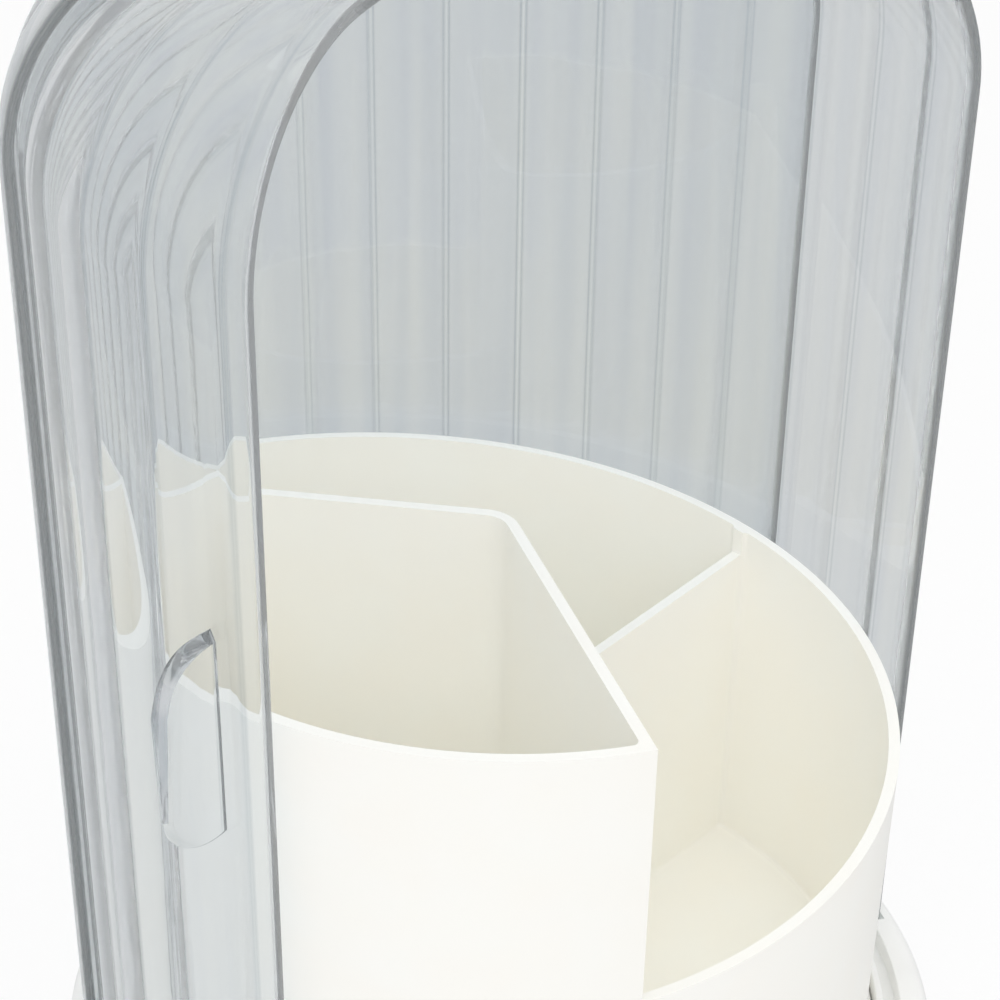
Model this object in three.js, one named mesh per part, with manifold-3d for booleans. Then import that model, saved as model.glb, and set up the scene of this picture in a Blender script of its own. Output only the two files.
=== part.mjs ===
// Makeup brush organizer: a white cup with three brush compartments on a ball-bearing turntable,
// under a fluted clear cover. The rear half of the cover is fixed to the base. The front half is
// a door that swings round the cup about a pivot at the top, and slides inside the rear half.
// Units are millimetres. +Z is up, the front faces -Y, and the origin is on the floor, at the
// middle of the base. Angles are in degrees, counterclockwise from +X seen from above.
import * as THREE from 'three';
import { mergeVertices } from 'three/addons/utils/BufferGeometryUtils.js';
import Module from 'manifold-3d';

const wasm = await Module();
wasm.setup();

// Driving dimensions of the whole organizer
const coverRadius = 81.4; // crest of the flutes on the fixed rear cover
const shellWall = 2.4; // clear plastic at the crest of a flute
const shellGap = 0.7; // running gap between the rear cover and the door inside it
const cupClearance = 3.4; // between the door and the cup at its rim
const baseMargin = 3.2; // base ring outside the rear cover
const baseHeight = 22; // floor to the top of the base ring
const wellHeight = 9.75; // floor to the floor of the turntable's well
const cupHeight = 109.5; // tall compartment, underside to rim
const shoulderHeight = 177.5; // base ring up to where the cover starts to curve in
const shoulderRadius = 36; // corner between the door's wall and its crown
const crownSlope = 6; // degrees left at the end of the shoulder, taken up by the crown

const rearFlutes = 17; // fixed half of the cover
const doorFlutes = 18; // as wide as those of the rear cover
const doorSpan = 198.2; // degrees, more than half a turn so that the closed door laps the rear cover
const doorLead = 228.2; // angle of the door's free edge, as it stands open
const fluteDepth = 0.8;
const cupAngle = -86.8; // first divider of the cup

const seatGap = 0.25; // between pieces that seat on each other
const runGap = 0.4; // between pieces that turn past each other
const cutOver = 1; // overrun of every cut past the surface that it opens

const largeSides = 48;
const mediumSides = 36;
const smallSides = 10;
const whole = 360; // degrees in a full turn
const half = 0.5;
const quarterTurn = 90;
const halfTurn = 180;

// Radii that follow from the driving dimensions
const doorRadius = coverRadius - shellWall - shellGap;
const doorInner = doorRadius - shellWall;
const cupRadius = doorInner - cupClearance;
const baseRadius = coverRadius + baseMargin;

const radians = THREE.MathUtils.degToRad;
const degrees = THREE.MathUtils.radToDeg;
const polar = (radius, angle) => [radius * Math.cos(radians(angle)), radius * Math.sin(radians(angle))];
const lerp = THREE.MathUtils.lerp;

// Signed volume of an indexed mesh, negative when its faces point inwards
function signedVolume(positions, index) {
  const [a, b, c] = [new THREE.Vector3(), new THREE.Vector3(), new THREE.Vector3()];
  let sum = 0;
  for (let i = 0; i < index.length; i += 3) {
    a.fromArray(positions, index[i] * 3);
    b.fromArray(positions, index[i + 1] * 3);
    c.fromArray(positions, index[i + 2] * 3);
    sum += a.dot(b.cross(c));
  }
  return sum;
}

// Merges shared corners, drops collapsed triangles and turns the faces outwards
function closed(geometry) {
  const bare = geometry.clone();
  bare.deleteAttribute('normal');
  bare.deleteAttribute('uv');
  const merged = mergeVertices(bare);
  const positions = merged.getAttribute('position').array;
  const corners = merged.getIndex().array;
  const kept = [];
  for (let i = 0; i < corners.length; i += 3) {
    const [a, b, c] = [corners[i], corners[i + 1], corners[i + 2]];
    if (a !== b && b !== c && c !== a) kept.push(a, b, c);
  }
  if (signedVolume(positions, kept) < 0) kept.reverse();
  merged.setIndex(kept);
  return merged;
}

function toSolid(geometry) {
  const shape = closed(geometry);
  const vertProperties = new Float32Array(shape.getAttribute('position').array);
  const triVerts = new Uint32Array(shape.getIndex().array);
  return new wasm.Manifold(new wasm.Mesh({ numProp: 3, vertProperties, triVerts }));
}

function toGeometry(solid) {
  const mesh = solid.getMesh();
  const geometry = new THREE.BufferGeometry();
  geometry.setAttribute('position', new THREE.BufferAttribute(new Float32Array(mesh.vertProperties), 3));
  geometry.setIndex(new THREE.BufferAttribute(new Uint32Array(mesh.triVerts), 1));
  return geometry;
}

// Turns a closed outline of [radius, height] points about the Z axis
function turned(outline, sides) {
  const points = [...outline, outline[0]].map(([r, z]) => new THREE.Vector2(r, z));
  const geometry = new THREE.LatheGeometry(points, sides);
  geometry.rotateX(Math.PI / 2);
  return geometry;
}

const turnedSolid = (outline, sides) => toSolid(turned(outline, sides));

// An upright round bar between two heights
function bar(radius, low, high, x, y, sides = smallSides) {
  const geometry = new THREE.CylinderGeometry(radius, radius, high - low, sides);
  geometry.rotateX(Math.PI / 2);
  geometry.translate(x, y, lerp(low, high, half));
  return geometry;
}

// An outline of [radius, height] points, drawn out sideways by width, at an angle round the axis
function radialSlab(outline, width, angle) {
  const shape = new THREE.Shape(outline.map(([r, z]) => new THREE.Vector2(r, z)));
  const geometry = new THREE.ExtrudeGeometry(shape, { depth: width, bevelEnabled: false });
  geometry.translate(0, 0, -width * half);
  geometry.rotateX(Math.PI / 2);
  geometry.rotateZ(radians(angle));
  return geometry;
}

// Points of an arc of [x, y] from one angle to another, both ends included
function arc(x, y, radius, from, to, steps) {
  const points = [];
  for (let i = 0; i <= steps; i += 1) {
    const [dx, dy] = polar(radius, lerp(from, to, i / steps));
    points.push([x + dx, y + dy]);
  }
  return points;
}

// A closed body through rings of [x, y, z] points, one ring after the other. Each end is filled in
// along its own flat outline of [x, y] points.
function skin(rings, ends) {
  const count = rings[0].length;
  const index = [];
  for (let i = 0; i < rings.length - 1; i += 1) {
    for (let j = 0; j < count; j += 1) {
      const [a, b] = [i * count + j, i * count + ((j + 1) % count)];
      index.push(a, b, b + count, a, b + count, a + count);
    }
  }
  const [first, last] = ends.map((outline) =>
    THREE.ShapeUtils.triangulateShape(outline.map(([x, y]) => new THREE.Vector2(x, y)), []));
  const offset = (rings.length - 1) * count;
  first.forEach(([a, b, c]) => index.push(a, c, b));
  last.forEach(([a, b, c]) => index.push(offset + a, offset + b, offset + c));
  const geometry = new THREE.BufferGeometry();
  geometry.setAttribute('position', new THREE.Float32BufferAttribute(rings.flat(2), 3));
  geometry.setIndex(index);
  return geometry;
}

// A closed body through level outlines, from low to high
function loft(levels) {
  const rings = levels.map(({ outline, z }) => outline.map(([x, y]) => [x, y, z]));
  return skin(rings, [levels[0].outline, levels[levels.length - 1].outline]);
}

// Materials, one new one for each sub-part
const finishes = {
  clear: { color: 0xdfe6ea, roughness: 0.06, metalness: 0, transparent: true, opacity: 0.35 },
  white: { color: 0xf6f5f2, roughness: 0.35, metalness: 0 },
  cup: { color: 0xf7f5ee, roughness: 0.3, metalness: 0 },
  natural: { color: 0xe9e6dc, roughness: 0.45, metalness: 0 },
  rubber: { color: 0xc9cac8, roughness: 0.85, metalness: 0 },
  steel: { color: 0xc2c4c6, roughness: 0.3, metalness: 1 },
};

const organizer = new THREE.Group();

function place(name, geometry, finish) {
  const mesh = new THREE.Mesh(closed(geometry), new THREE.MeshStandardMaterial(finishes[finish]));
  mesh.name = name;
  organizer.add(mesh);
  return mesh;
}

// Sizes of the base, all heights from the floor
const footHeight = 1.2; // base above the floor
const baseWall = 2.2;
const plateThick = 2;
const ringEdge = 3.2; // rounding of the ring's outer edge
const edgeSteps = 3;
const grooveDepth = 4;
const lipWidth = 1.4; // wall between the turntable's well and the door's groove
const grooveInner = doorInner - runGap;
const grooveOuter = doorRadius + runGap;
const wellRadius = grooveInner - lipWidth;
const grooveFloor = baseHeight - grooveDepth;
const grooveUnder = grooveFloor - baseWall;
const wellUnder = wellHeight - baseWall;
const skirtInner = baseRadius - baseWall;
const plateTop = footHeight + plateThick;

// Screws: one pan-head form, turned about its own axis, head up or head down
const pan = { head: 2.6, headHeight: 1.1, shank: 1.3 };
const panHole = pan.shank + seatGap;
const raceScrew = { head: 2.2, headHeight: 0.8, shank: 1, bite: 2 };
const raceHole = raceScrew.shank + seatGap;

function panScrew(length, seat, up, sizes) {
  const way = up ? 1 : -1;
  const outline = [
    [0, seat - way * length],
    [sizes.shank, seat - way * length],
    [sizes.shank, seat],
    [sizes.head, seat],
    [sizes.head, seat + way * sizes.headHeight * half],
    [sizes.head * half, seat + way * sizes.headHeight],
    [0, seat + way * sizes.headHeight],
  ];
  return turned(outline, smallSides);
}

// Turntable stack, from the well's floor up
const raceThick = 1.6;
const raceSpace = 3; // between the faces of the two races
const raceInner = 33;
const raceWidth = 15;
const raceScrewRadius = 36;
const raceScrews = 3;
const ballRadius = 2;
const ballRoom = 0.35; // between a ball and the races' grooves
const grooveSteps = 3;
const ballPitch = 42;
const ballCount = 12;
const cageThick = 1;
const cageWidth = 6.8;
const discThick = 2.8;
const discRadius = wellRadius - runGap;

const lowerRaceBack = wellHeight + seatGap;
const lowerRaceFace = lowerRaceBack + raceThick;
const upperRaceFace = lowerRaceFace + raceSpace;
const upperRaceBack = upperRaceFace + raceThick;
const ballHeight = lerp(lowerRaceFace, upperRaceFace, half);
const discUnder = upperRaceBack + seatGap;
const discTop = discUnder + discThick;
const cupUnder = discTop + seatGap;

// Spindle: a bush clamped on the base's boss, round which the turntable's hub turns
const spindle = { shank: 2, head: 5, headHeight: 1.3, thread: 8 };
const bushWall = 1.3;
const bushRadius = spindle.shank + seatGap + bushWall;
const hubRecess = 8;
const hubThick = 1.6;
const washerThick = 0.6;
const bossRadius = 7;
const bossDrop = 3; // boss below the well's floor
const hubTop = discTop - spindle.headHeight - washerThick - 2 * seatGap;
const hubUnder = hubTop - hubThick;
const bossTop = hubUnder - seatGap;

// Bottom plate fixings
const plateScrewInset = 14.1; // inside the well's wall
const plateScrewRadius = wellRadius - plateScrewInset;
const plateScrews = 4;
const plateBoss = 4;
const plateSink = pan.headHeight + seatGap; // counterbore for the screw's head
const footRadius = 7;
const footInset = 16.6; // middle of a foot, inside the base ring
const footRing = baseRadius - footInset;
const feet = 4;
const footSink = 0.8;

// Snap tabs that hold the rear cover down
const tab = { width: 7, thick: 1.6, inset: 0.4, barb: 0.9, barbHeight: 1.4 };
const tabInner = coverRadius - shellWall + tab.inset;
const tabOuter = tabInner + tab.thick;
const tabFlutes = [2, 8, 14]; // the flutes that the tabs stand under
const tabAngles = tabFlutes.map((flute) => ((flute + half) * halfTurn) / rearFlutes);

// Base: skirt, ring with its groove, well for the turntable, and bosses, in one moulding
function makeBase() {
  const groovedRing = [
    [baseRadius, footHeight],
    ...arc(baseRadius - ringEdge, baseHeight - ringEdge, ringEdge, 0, quarterTurn, edgeSteps),
    [grooveOuter, baseHeight],
    [grooveOuter, grooveFloor],
    [grooveInner, grooveFloor],
    [grooveInner, baseHeight],
    [wellRadius, baseHeight],
  ];
  const well = [
    [wellRadius, wellHeight],
    [bossRadius, wellHeight],
    [bossRadius, bossTop],
    [spindle.shank + seatGap, bossTop],
    [spindle.shank + seatGap, wellUnder - bossDrop],
    [bossRadius, wellUnder - bossDrop],
    [bossRadius, wellUnder],
    [wellRadius + baseWall, wellUnder],
    [wellRadius + baseWall, grooveUnder],
    [skirtInner, grooveUnder],
    [skirtInner, footHeight],
  ];
  let solid = turnedSolid([...groovedRing, ...well], largeSides);

  // Bosses for the bottom plate's screws
  for (let i = 0; i < plateScrews; i += 1) {
    const [x, y] = polar(plateScrewRadius, (i * whole) / plateScrews);
    solid = solid.add(toSolid(bar(plateBoss, plateTop + seatGap, wellHeight - baseWall * half, x, y)));
    solid = solid.subtract(toSolid(bar(panHole, plateTop - cutOver, wellUnder, x, y)));
  }
  // Holes for the lower race's screws
  for (let i = 0; i < raceScrews; i += 1) {
    const [x, y] = polar(raceScrewRadius, (i * whole) / raceScrews);
    solid = solid.subtract(toSolid(bar(raceHole, wellUnder - cutOver, wellHeight + cutOver, x, y)));
  }
  // The groove is wider round the rear half, where it also takes the fixed cover
  const seatOuter = coverRadius + runGap;
  const seatInner = lerp(grooveInner, grooveOuter, half);
  const endSpace = degrees(runGap / coverRadius);
  const ends = [-endSpace, halfTurn + endSpace];
  const seatOutline = [
    ...arc(0, 0, seatOuter, ...ends, mediumSides),
    ...arc(0, 0, seatInner, ...ends.toReversed(), mediumSides),
  ];
  const seat = [grooveFloor, baseHeight + cutOver].map((z) => ({ outline: seatOutline, z }));
  solid = solid.subtract(toSolid(loft(seat)));
  // Slots through the groove's floor for the snap tabs
  for (const angle of tabAngles) {
    const slot = [
      [tabInner - runGap, grooveUnder - cutOver],
      [tabOuter + runGap, grooveUnder - cutOver],
      [tabOuter + runGap, grooveFloor + cutOver],
      [tabInner - runGap, grooveFloor + cutOver],
    ];
    solid = solid.subtract(toSolid(radialSlab(slot, tab.width + 2 * runGap, angle)));
  }
  return toGeometry(solid);
}

function makePlate() {
  const radius = skirtInner - seatGap;
  let solid = toSolid(bar(radius, footHeight, plateTop, 0, 0, largeSides));
  for (let i = 0; i < plateScrews; i += 1) {
    const [x, y] = polar(plateScrewRadius, (i * whole) / plateScrews);
    solid = solid.subtract(toSolid(bar(panHole, footHeight - cutOver, plateTop + cutOver, x, y)));
    const sink = bar(pan.head + seatGap, footHeight - cutOver, footHeight + plateSink, x, y);
    solid = solid.subtract(toSolid(sink));
  }
  for (let i = 0; i < feet; i += 1) {
    const [x, y] = polar(footRing, ((i + half) * whole) / feet);
    const sink = bar(footRadius + seatGap, footHeight - cutOver, footHeight + footSink, x, y, smallSides);
    solid = solid.subtract(toSolid(sink));
  }
  return toGeometry(solid);
}

place('base_shell', makeBase(), 'white');
place('bottom_plate', makePlate(), 'white');

const footNames = ['rear_right', 'rear_left', 'front_left', 'front_right'];
for (let i = 0; i < feet; i += 1) {
  const [x, y] = polar(footRing, ((i + half) * whole) / feet);
  const footTop = footHeight + footSink - seatGap;
  const foot = place(`foot_${footNames[i]}`, bar(footRadius, 0, footTop, 0, 0), 'rubber');
  foot.position.set(x, y, 0);
}

for (let i = 0; i < plateScrews; i += 1) {
  const [x, y] = polar(plateScrewRadius, (i * whole) / plateScrews);
  const length = wellUnder - footHeight - plateSink - seatGap;
  const screw = place(`plate_screw_${i + 1}`, panScrew(length, footHeight + plateSink, false, pan), 'steel');
  screw.position.set(x, y, 0);
}

// Races: flat rings with a groove for the balls in the faces that look at each other
function makeRace(face, back) {
  const inwards = Math.sign(back - face);
  const reach = ballRadius + ballRoom;
  const edge = degrees(Math.asin((raceSpace * half) / reach));
  const facing = inwards > 0 ? [halfTurn - edge, edge] : [halfTurn + edge, whole - edge];
  const groove = arc(ballPitch, ballHeight, reach, ...facing, grooveSteps);
  const outline = [[raceInner, face], ...groove, [raceInner + raceWidth, face],
    [raceInner + raceWidth, back], [raceInner, back]];
  let solid = turnedSolid(outline, mediumSides);
  for (let i = 0; i < raceScrews; i += 1) {
    const [x, y] = polar(raceScrewRadius, (i * whole) / raceScrews);
    const [low, high] = [Math.min(face, back) - cutOver, Math.max(face, back) + cutOver];
    solid = solid.subtract(toSolid(bar(raceHole, low, high, x, y)));
  }
  return toGeometry(solid);
}

function makeCage() {
  const inner = ballPitch - cageWidth * half;
  const outer = ballPitch + cageWidth * half;
  const [low, high] = [ballHeight - cageThick * half, ballHeight + cageThick * half];
  let solid = turnedSolid([[inner, low], [outer, low], [outer, high], [inner, high]], mediumSides);
  for (let i = 0; i < ballCount; i += 1) {
    const [x, y] = polar(ballPitch, (i * whole) / ballCount);
    solid = solid.subtract(toSolid(bar(ballRadius + seatGap, low - cutOver, high + cutOver, x, y)));
  }
  return toGeometry(solid);
}

place('lower_race', makeRace(lowerRaceFace, lowerRaceBack), 'steel');
place('upper_race', makeRace(upperRaceFace, upperRaceBack), 'steel');
place('ball_cage', makeCage(), 'natural');
for (let i = 0; i < ballCount; i += 1) {
  const ball = place(`ball_${i + 1}`, new THREE.IcosahedronGeometry(ballRadius, 1), 'steel');
  ball.position.set(...polar(ballPitch, (i * whole) / ballCount), ballHeight);
}
for (let i = 0; i < raceScrews; i += 1) {
  const angle = (i * whole) / raceScrews;
  const length = raceThick + seatGap + raceScrew.bite;
  const low = place(`lower_race_screw_${i + 1}`, panScrew(length, lowerRaceFace, true, raceScrew), 'steel');
  low.position.set(...polar(raceScrewRadius, angle), seatGap * half);
  const high = place(`upper_race_screw_${i + 1}`, panScrew(length, upperRaceFace, false, raceScrew), 'steel');
  high.position.set(...polar(raceScrewRadius, angle), -seatGap * half);
}

// Turntable disc with its sunk hub and three pegs that turn the cup
const peg = { radius: 4, height: 1.2, inset: 18.5, count: 3 };
const pegRing = cupRadius - peg.inset;

function makeDisc() {
  const outline = [
    [discRadius, discUnder],
    [discRadius, discTop],
    [hubRecess, discTop],
    [hubRecess, hubTop],
    [bushRadius + seatGap, hubTop],
    [bushRadius + seatGap, hubUnder],
    [hubRecess + baseWall, hubUnder],
    [hubRecess + baseWall, discUnder],
  ];
  let solid = turnedSolid(outline, largeSides);
  for (let i = 0; i < peg.count; i += 1) {
    const [x, y] = polar(pegRing, cupAngle + (i * whole) / peg.count);
    solid = solid.add(toSolid(bar(peg.radius, discTop - discThick * half, discTop + peg.height, x, y)));
  }
  for (let i = 0; i < raceScrews; i += 1) {
    const [x, y] = polar(raceScrewRadius, (i * whole) / raceScrews);
    const holeEnd = discUnder + raceScrew.bite + seatGap;
    solid = solid.subtract(toSolid(bar(raceHole, discUnder - cutOver, holeEnd, x, y)));
  }
  return toGeometry(solid);
}

const ring = (inner, outer, low, high) =>
  turned([[inner, low], [outer, low], [outer, high], [inner, high]], smallSides);

place('turntable_disc', makeDisc(), 'white');
const spindleBore = spindle.shank + seatGap;
const bushEnds = [bossTop, hubTop].map((z) => z + seatGap * half);
place('spindle_bush', ring(spindleBore, bushRadius, ...bushEnds), 'natural');
const washerEnds = [hubTop + seatGap, hubTop + seatGap + washerThick];
place('spindle_washer', ring(spindleBore, hubRecess - runGap, ...washerEnds), 'steel');
const spindleSeat = hubTop + seatGap + washerThick + seatGap * half;
place('spindle_screw', panScrew(spindleSeat - bossTop + spindle.thread, spindleSeat, true, spindle), 'steel');

// Cup: one moulding with three compartments. Angles run from its first divider. The sector after
// the last divider is tall all round; the rim of the other two climbs to it in one long sweep.
const cupWall = 2;
const cupFloor = 2.4;
const cupDraft = 1.1; // the cup's radius is smaller by this at its foot
const dividers = [0, 120, 243.7];
const stepDrop = 50.8; // rim at the first divider, below the tall rim
const lowDividerDrop = { middle: 43.3, wall: 38.7 }; // top of the middle divider, below the tall rim
const cornerRound = 1.2; // upright corners of the compartments, at the outer wall
const apexRound = 5; // upright corners at the middle
const floorRound = 0.9; // foot of the compartments' walls
const sweepShare = 0.68; // share of the climb that is even, the rest comes near its end
const sweepPower = 5;
const sectorStep = 6; // degrees between the points of a sector's outer arc
const cornerSteps = 3;
const apexSteps = 5;
const cupTop = cupUnder + cupHeight;
const cupInner = cupRadius - cupWall;

// Height of the sweeping rim at an angle after the first divider
function rimHeight(angle) {
  const t = angle / dividers[dividers.length - 1];
  const climb = sweepShare * t + (1 - sweepShare) * t ** sweepPower;
  return cupTop - stepDrop * (1 - climb);
}

// Outline of a sector between two angles, its sides set in from them, with round corners
function sector(from, to, inset, radius, corner, apex) {
  const across = inset + corner;
  const along = Math.sqrt((radius - corner) ** 2 - across ** 2);
  const turn = degrees(Math.atan2(across, along));
  const side = (angle, way) => {
    const [x, y] = [polar(along, angle), polar(way * across, angle + quarterTurn)]
      .reduce(([ax, ay], [bx, by]) => [ax + bx, ay + by]);
    return arc(x, y, corner, angle - way * quarterTurn, angle + way * turn, cornerSteps);
  };
  const steps = Math.round((to - from) / sectorStep);
  const outer = arc(0, 0, radius, from + turn, to - turn, steps).slice(1, -1);
  const apexOut = (inset + apex) / Math.sin(radians((to - from) * half));
  const [x, y] = polar(apexOut, lerp(from, to, half));
  const inner = arc(x, y, apex, to + quarterTurn, from + halfTurn + quarterTurn, apexSteps);
  return [...side(from, 1), ...outer, ...side(to, -1).reverse(), ...inner];
}

// One compartment, as the solid that is cut out of the cup
function makeCompartment(from, to) {
  const floor = cupUnder + cupFloor;
  const footInner = cupInner - cupDraft;
  const level = (z, inset, radius) => {
    const outline = sector(from + cupAngle, to + cupAngle, cupWall * half + inset, radius - inset,
      cornerRound - inset, apexRound);
    return { outline, z };
  };
  const bend = radians(quarterTurn * half);
  const mid = floorRound * (1 - Math.sin(bend));
  return toSolid(loft([
    level(floor, floorRound, footInner),
    level(floor + mid, mid, footInner),
    level(floor + floorRound, 0, footInner),
    level(cupTop + cutOver, 0, cupInner),
  ]));
}

// What is open above the sweeping rim and above the middle divider
function makeSweep() {
  const last = dividers[dividers.length - 1];
  const edge = cupInner - cupDraft;
  const [inner, outer] = [edge - cutOver, cupRadius + cutOver];
  const high = cupTop + cutOver;
  const rings = [];
  for (let i = 0; i <= mediumSides; i += 1) {
    const angle = lerp(0, last, i / mediumSides);
    const low = rimHeight(angle);
    const [a, b] = [polar(inner, angle + cupAngle), polar(outer, angle + cupAngle)];
    rings.push([[...a, low], [...b, low], [...b, high], [...a, high]]);
  }
  const cap = [[inner, 0], [outer, 0], [outer, high], [inner, high]];
  const middle = [
    [0, cupTop - lowDividerDrop.middle],
    [edge, cupTop - lowDividerDrop.wall],
    [edge, high],
    [0, high],
  ];
  return toSolid(skin(rings, [cap, cap])).add(turnedSolid(middle, largeSides));
}

function makeCup() {
  const outline = [[0, cupUnder], [cupRadius - cupDraft, cupUnder], [cupRadius, cupTop], [0, cupTop]];
  let solid = turnedSolid(outline, largeSides);
  dividers.forEach((from, i) => {
    solid = solid.subtract(makeCompartment(from, i + 1 < dividers.length ? dividers[i + 1] : whole));
  });
  const last = dividers[dividers.length - 1];
  const around = sector(last + cupAngle, whole + cupAngle, -cupWall * half, cupRadius + 2 * cutOver,
    cutOver, apexRound + cupWall);
  const tall = loft([{ outline: around, z: cupUnder }, { outline: around, z: cupTop + 2 * cutOver }]);
  solid = solid.subtract(makeSweep().subtract(toSolid(tall)));
  for (let i = 0; i < peg.count; i += 1) {
    const [x, y] = polar(pegRing, cupAngle + (i * whole) / peg.count);
    const top = discTop + peg.height + seatGap;
    solid = solid.subtract(toSolid(bar(peg.radius + seatGap, cupUnder - cutOver, top, x, y)));
  }
  return toGeometry(solid);
}

place('brush_cup', makeCup(), 'cup');

// Covers: both follow one profile at different distances from the door's outer face
const shoulderCenter = doorRadius - shoulderRadius;
const shoulderBase = baseHeight + shoulderHeight;
const shoulderTurn = quarterTurn - crownSlope;
const shoulderEnd = polar(shoulderRadius, shoulderTurn);
const crownReach = shoulderCenter + shoulderEnd[0];
const crownRadius = crownReach / Math.sin(radians(crownSlope));
const crownCenter = shoulderBase + shoulderEnd[1] - crownRadius * Math.cos(radians(crownSlope));
const crownTop = crownCenter + crownRadius; // crest of the door, at the axis
const shoulderSteps = 5;
const crownSteps = 2;
const fluteSteps = 4; // faces across one flute, outside
const smoothSteps = 2; // faces across one flute, inside
const crownFade = 0.2; // share of the flute's depth left at the axis
const rearOffset = shellGap + shellWall; // rear cover's crest, out from the door's crest

// Points of the profile at a distance from the door's crest, from the foot to the axis. Each is
// [radius, height, outward radius, outward height, share of the flute's depth].
function profile(offset, foot) {
  const points = [[doorRadius + offset, foot, 1, 0, 1]];
  for (let i = 0; i <= shoulderSteps; i += 1) {
    const [nr, nz] = polar(1, lerp(0, shoulderTurn, i / shoulderSteps));
    const reach = shoulderRadius + offset;
    points.push([shoulderCenter + reach * nr, shoulderBase + reach * nz, nr, nz, 1]);
  }
  const reach = crownRadius + offset;
  for (let i = 1; i <= crownSteps; i += 1) {
    const [nz, nr] = polar(1, lerp(crownSlope, 0, i / crownSteps));
    points.push([reach * nr, crownCenter + reach * nz, nr, nz, lerp(1, crownFade, i / crownSteps)]);
  }
  return points;
}

// A solid from the axis out to the profile, over a number of flutes, each sunk at its sides
function makeSegment(points, from, span, flutes, steps, depth) {
  const bottom = [0, points[0][1]];
  const rings = [];
  const ends = [];
  for (let i = 0; i <= flutes * steps; i += 1) {
    const across = 2 * ((i % steps) / steps) - 1;
    const sunk = depth * across ** 2;
    const outline = points.map(([r, z, nr, nz, share]) => [r - nr * sunk * share, z - nz * sunk * share]);
    outline[outline.length - 1] = points[points.length - 1].slice(0, 2);
    outline.push(bottom);
    const angle = from + (i * span) / (flutes * steps);
    rings.push(outline.map(([r, z]) => [...polar(r, angle), z]));
    ends.push(outline);
  }
  return toSolid(skin(rings, [ends[0], ends[ends.length - 1]]));
}

// A fluted shell: lobes outside, smooth inside
function makeShell(offset, foot, from, span, flutes) {
  const outside = makeSegment(profile(offset, foot), from, span, flutes, fluteSteps, fluteDepth);
  const pitch = span / flutes;
  const hollow = profile(offset - shellWall, foot - cutOver);
  return outside.subtract(makeSegment(hollow, from - pitch, span + 2 * pitch, flutes + 2, smoothSteps, 0));
}

// Pivot at the top, from the nut inside to the cap outside
const pivot = { shank: 2, head: 4.2, headHeight: 1.8, bushWall: 1.3 };
const coverHub = 11; // radius of the covers' round hubs
const hubStep = 1; // hubs thicker than the shells
const pivotWasher = { outer: 7.4, thick: 1 };
const nut = { width: 3.9, thick: 3.2, sides: 6, below: 1 };
const pivotBore = pivot.shank + seatGap;
const pivotBushRadius = pivotBore + pivot.bushWall;
const doorHubUnder = crownTop - shellWall - hubStep;
const rearHubUnder = crownTop + shellGap;
const rearHubTop = rearHubUnder + shellWall + hubStep;
const washerSeat = rearHubUnder - seatGap - pivotWasher.thick - seatGap;
const lowWasherTop = doorHubUnder - seatGap;
const lowWasherUnder = lowWasherTop - pivotWasher.thick;
const nutTop = lowWasherUnder - seatGap * half;
const nutUnder = nutTop - nut.thick;

function makeRearCover() {
  const foot = grooveFloor + seatGap;
  let solid = makeShell(rearOffset, foot, 0, halfTurn, rearFlutes);
  const hub = [[pivotBore, rearHubUnder], [coverHub, rearHubUnder], [coverHub, rearHubTop],
    [pivotBore, rearHubTop]];
  const clear = bar(pivotBore, rearHubUnder - cutOver, rearHubTop + cutOver, 0, 0);
  solid = solid.add(turnedSolid(hub, mediumSides)).subtract(toSolid(clear));
  const tabTop = foot + baseWall;
  const catchTop = grooveUnder - seatGap;
  const outline = [
    [tabInner, tabTop],
    [tabInner, catchTop - tab.barbHeight],
    [tabOuter, catchTop - tab.barbHeight],
    [tabOuter + tab.barb, catchTop],
    [tabOuter, catchTop],
    [tabOuter, tabTop],
  ];
  tabAngles.forEach((angle) => {
    solid = solid.add(toSolid(radialSlab(outline, tab.width, angle)));
  });
  return toGeometry(solid);
}

// Finger pull on the door: a thin leaf-shaped pad. Along its left side and its curved top stands a
// ridge with its crest at the outside, falling in a slope to the pad. Its edges are given by their
// corners and by the points that their curves bend towards, each as an angle and a height.
const pull = {
  footRight: [222.05, 109.5],
  topRight: [222, 144.6],
  topLeft: [221.4, 146.8],
  shoulderBend: [214.5, 139.8],
  shoulder: [212.35, 125.5],
  heel: [211.5, 104],
  heelBend: [211.2, 100],
  sole: [214.2, 100.9],
  soleBend: [218.2, 102.8],
  innerTop: [221.91, 144.93],
  innerBend: [215.1, 135.55],
  innerShoulder: [213.8, 125.5],
  innerHeel: [212.6, 104.5],
  crest: 2, // how far the ridge's outer edge stands out
  heelCrest: 0.8, // the same at the ridge's lower end
  pad: 0.3,
  archSteps: 7,
  sideSteps: 2,
  heelSteps: 3,
  across: 4, // steps over the pad, which follows the door's curve
};

// Points of a curve from one corner to another, bent towards a third point
function bent(from, towards, to, steps) {
  const corners = [from, towards, to].map(([x, y]) => new THREE.Vector2(x, y));
  return new THREE.QuadraticBezierCurve(...corners).getPoints(steps).map(({ x, y }) => [x, y]);
}

// Points of a straight line, without its first point
function straight(from, to, steps) {
  return bent(from, from.map((value, i) => lerp(value, to[i], half)), to, steps).slice(1);
}

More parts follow.
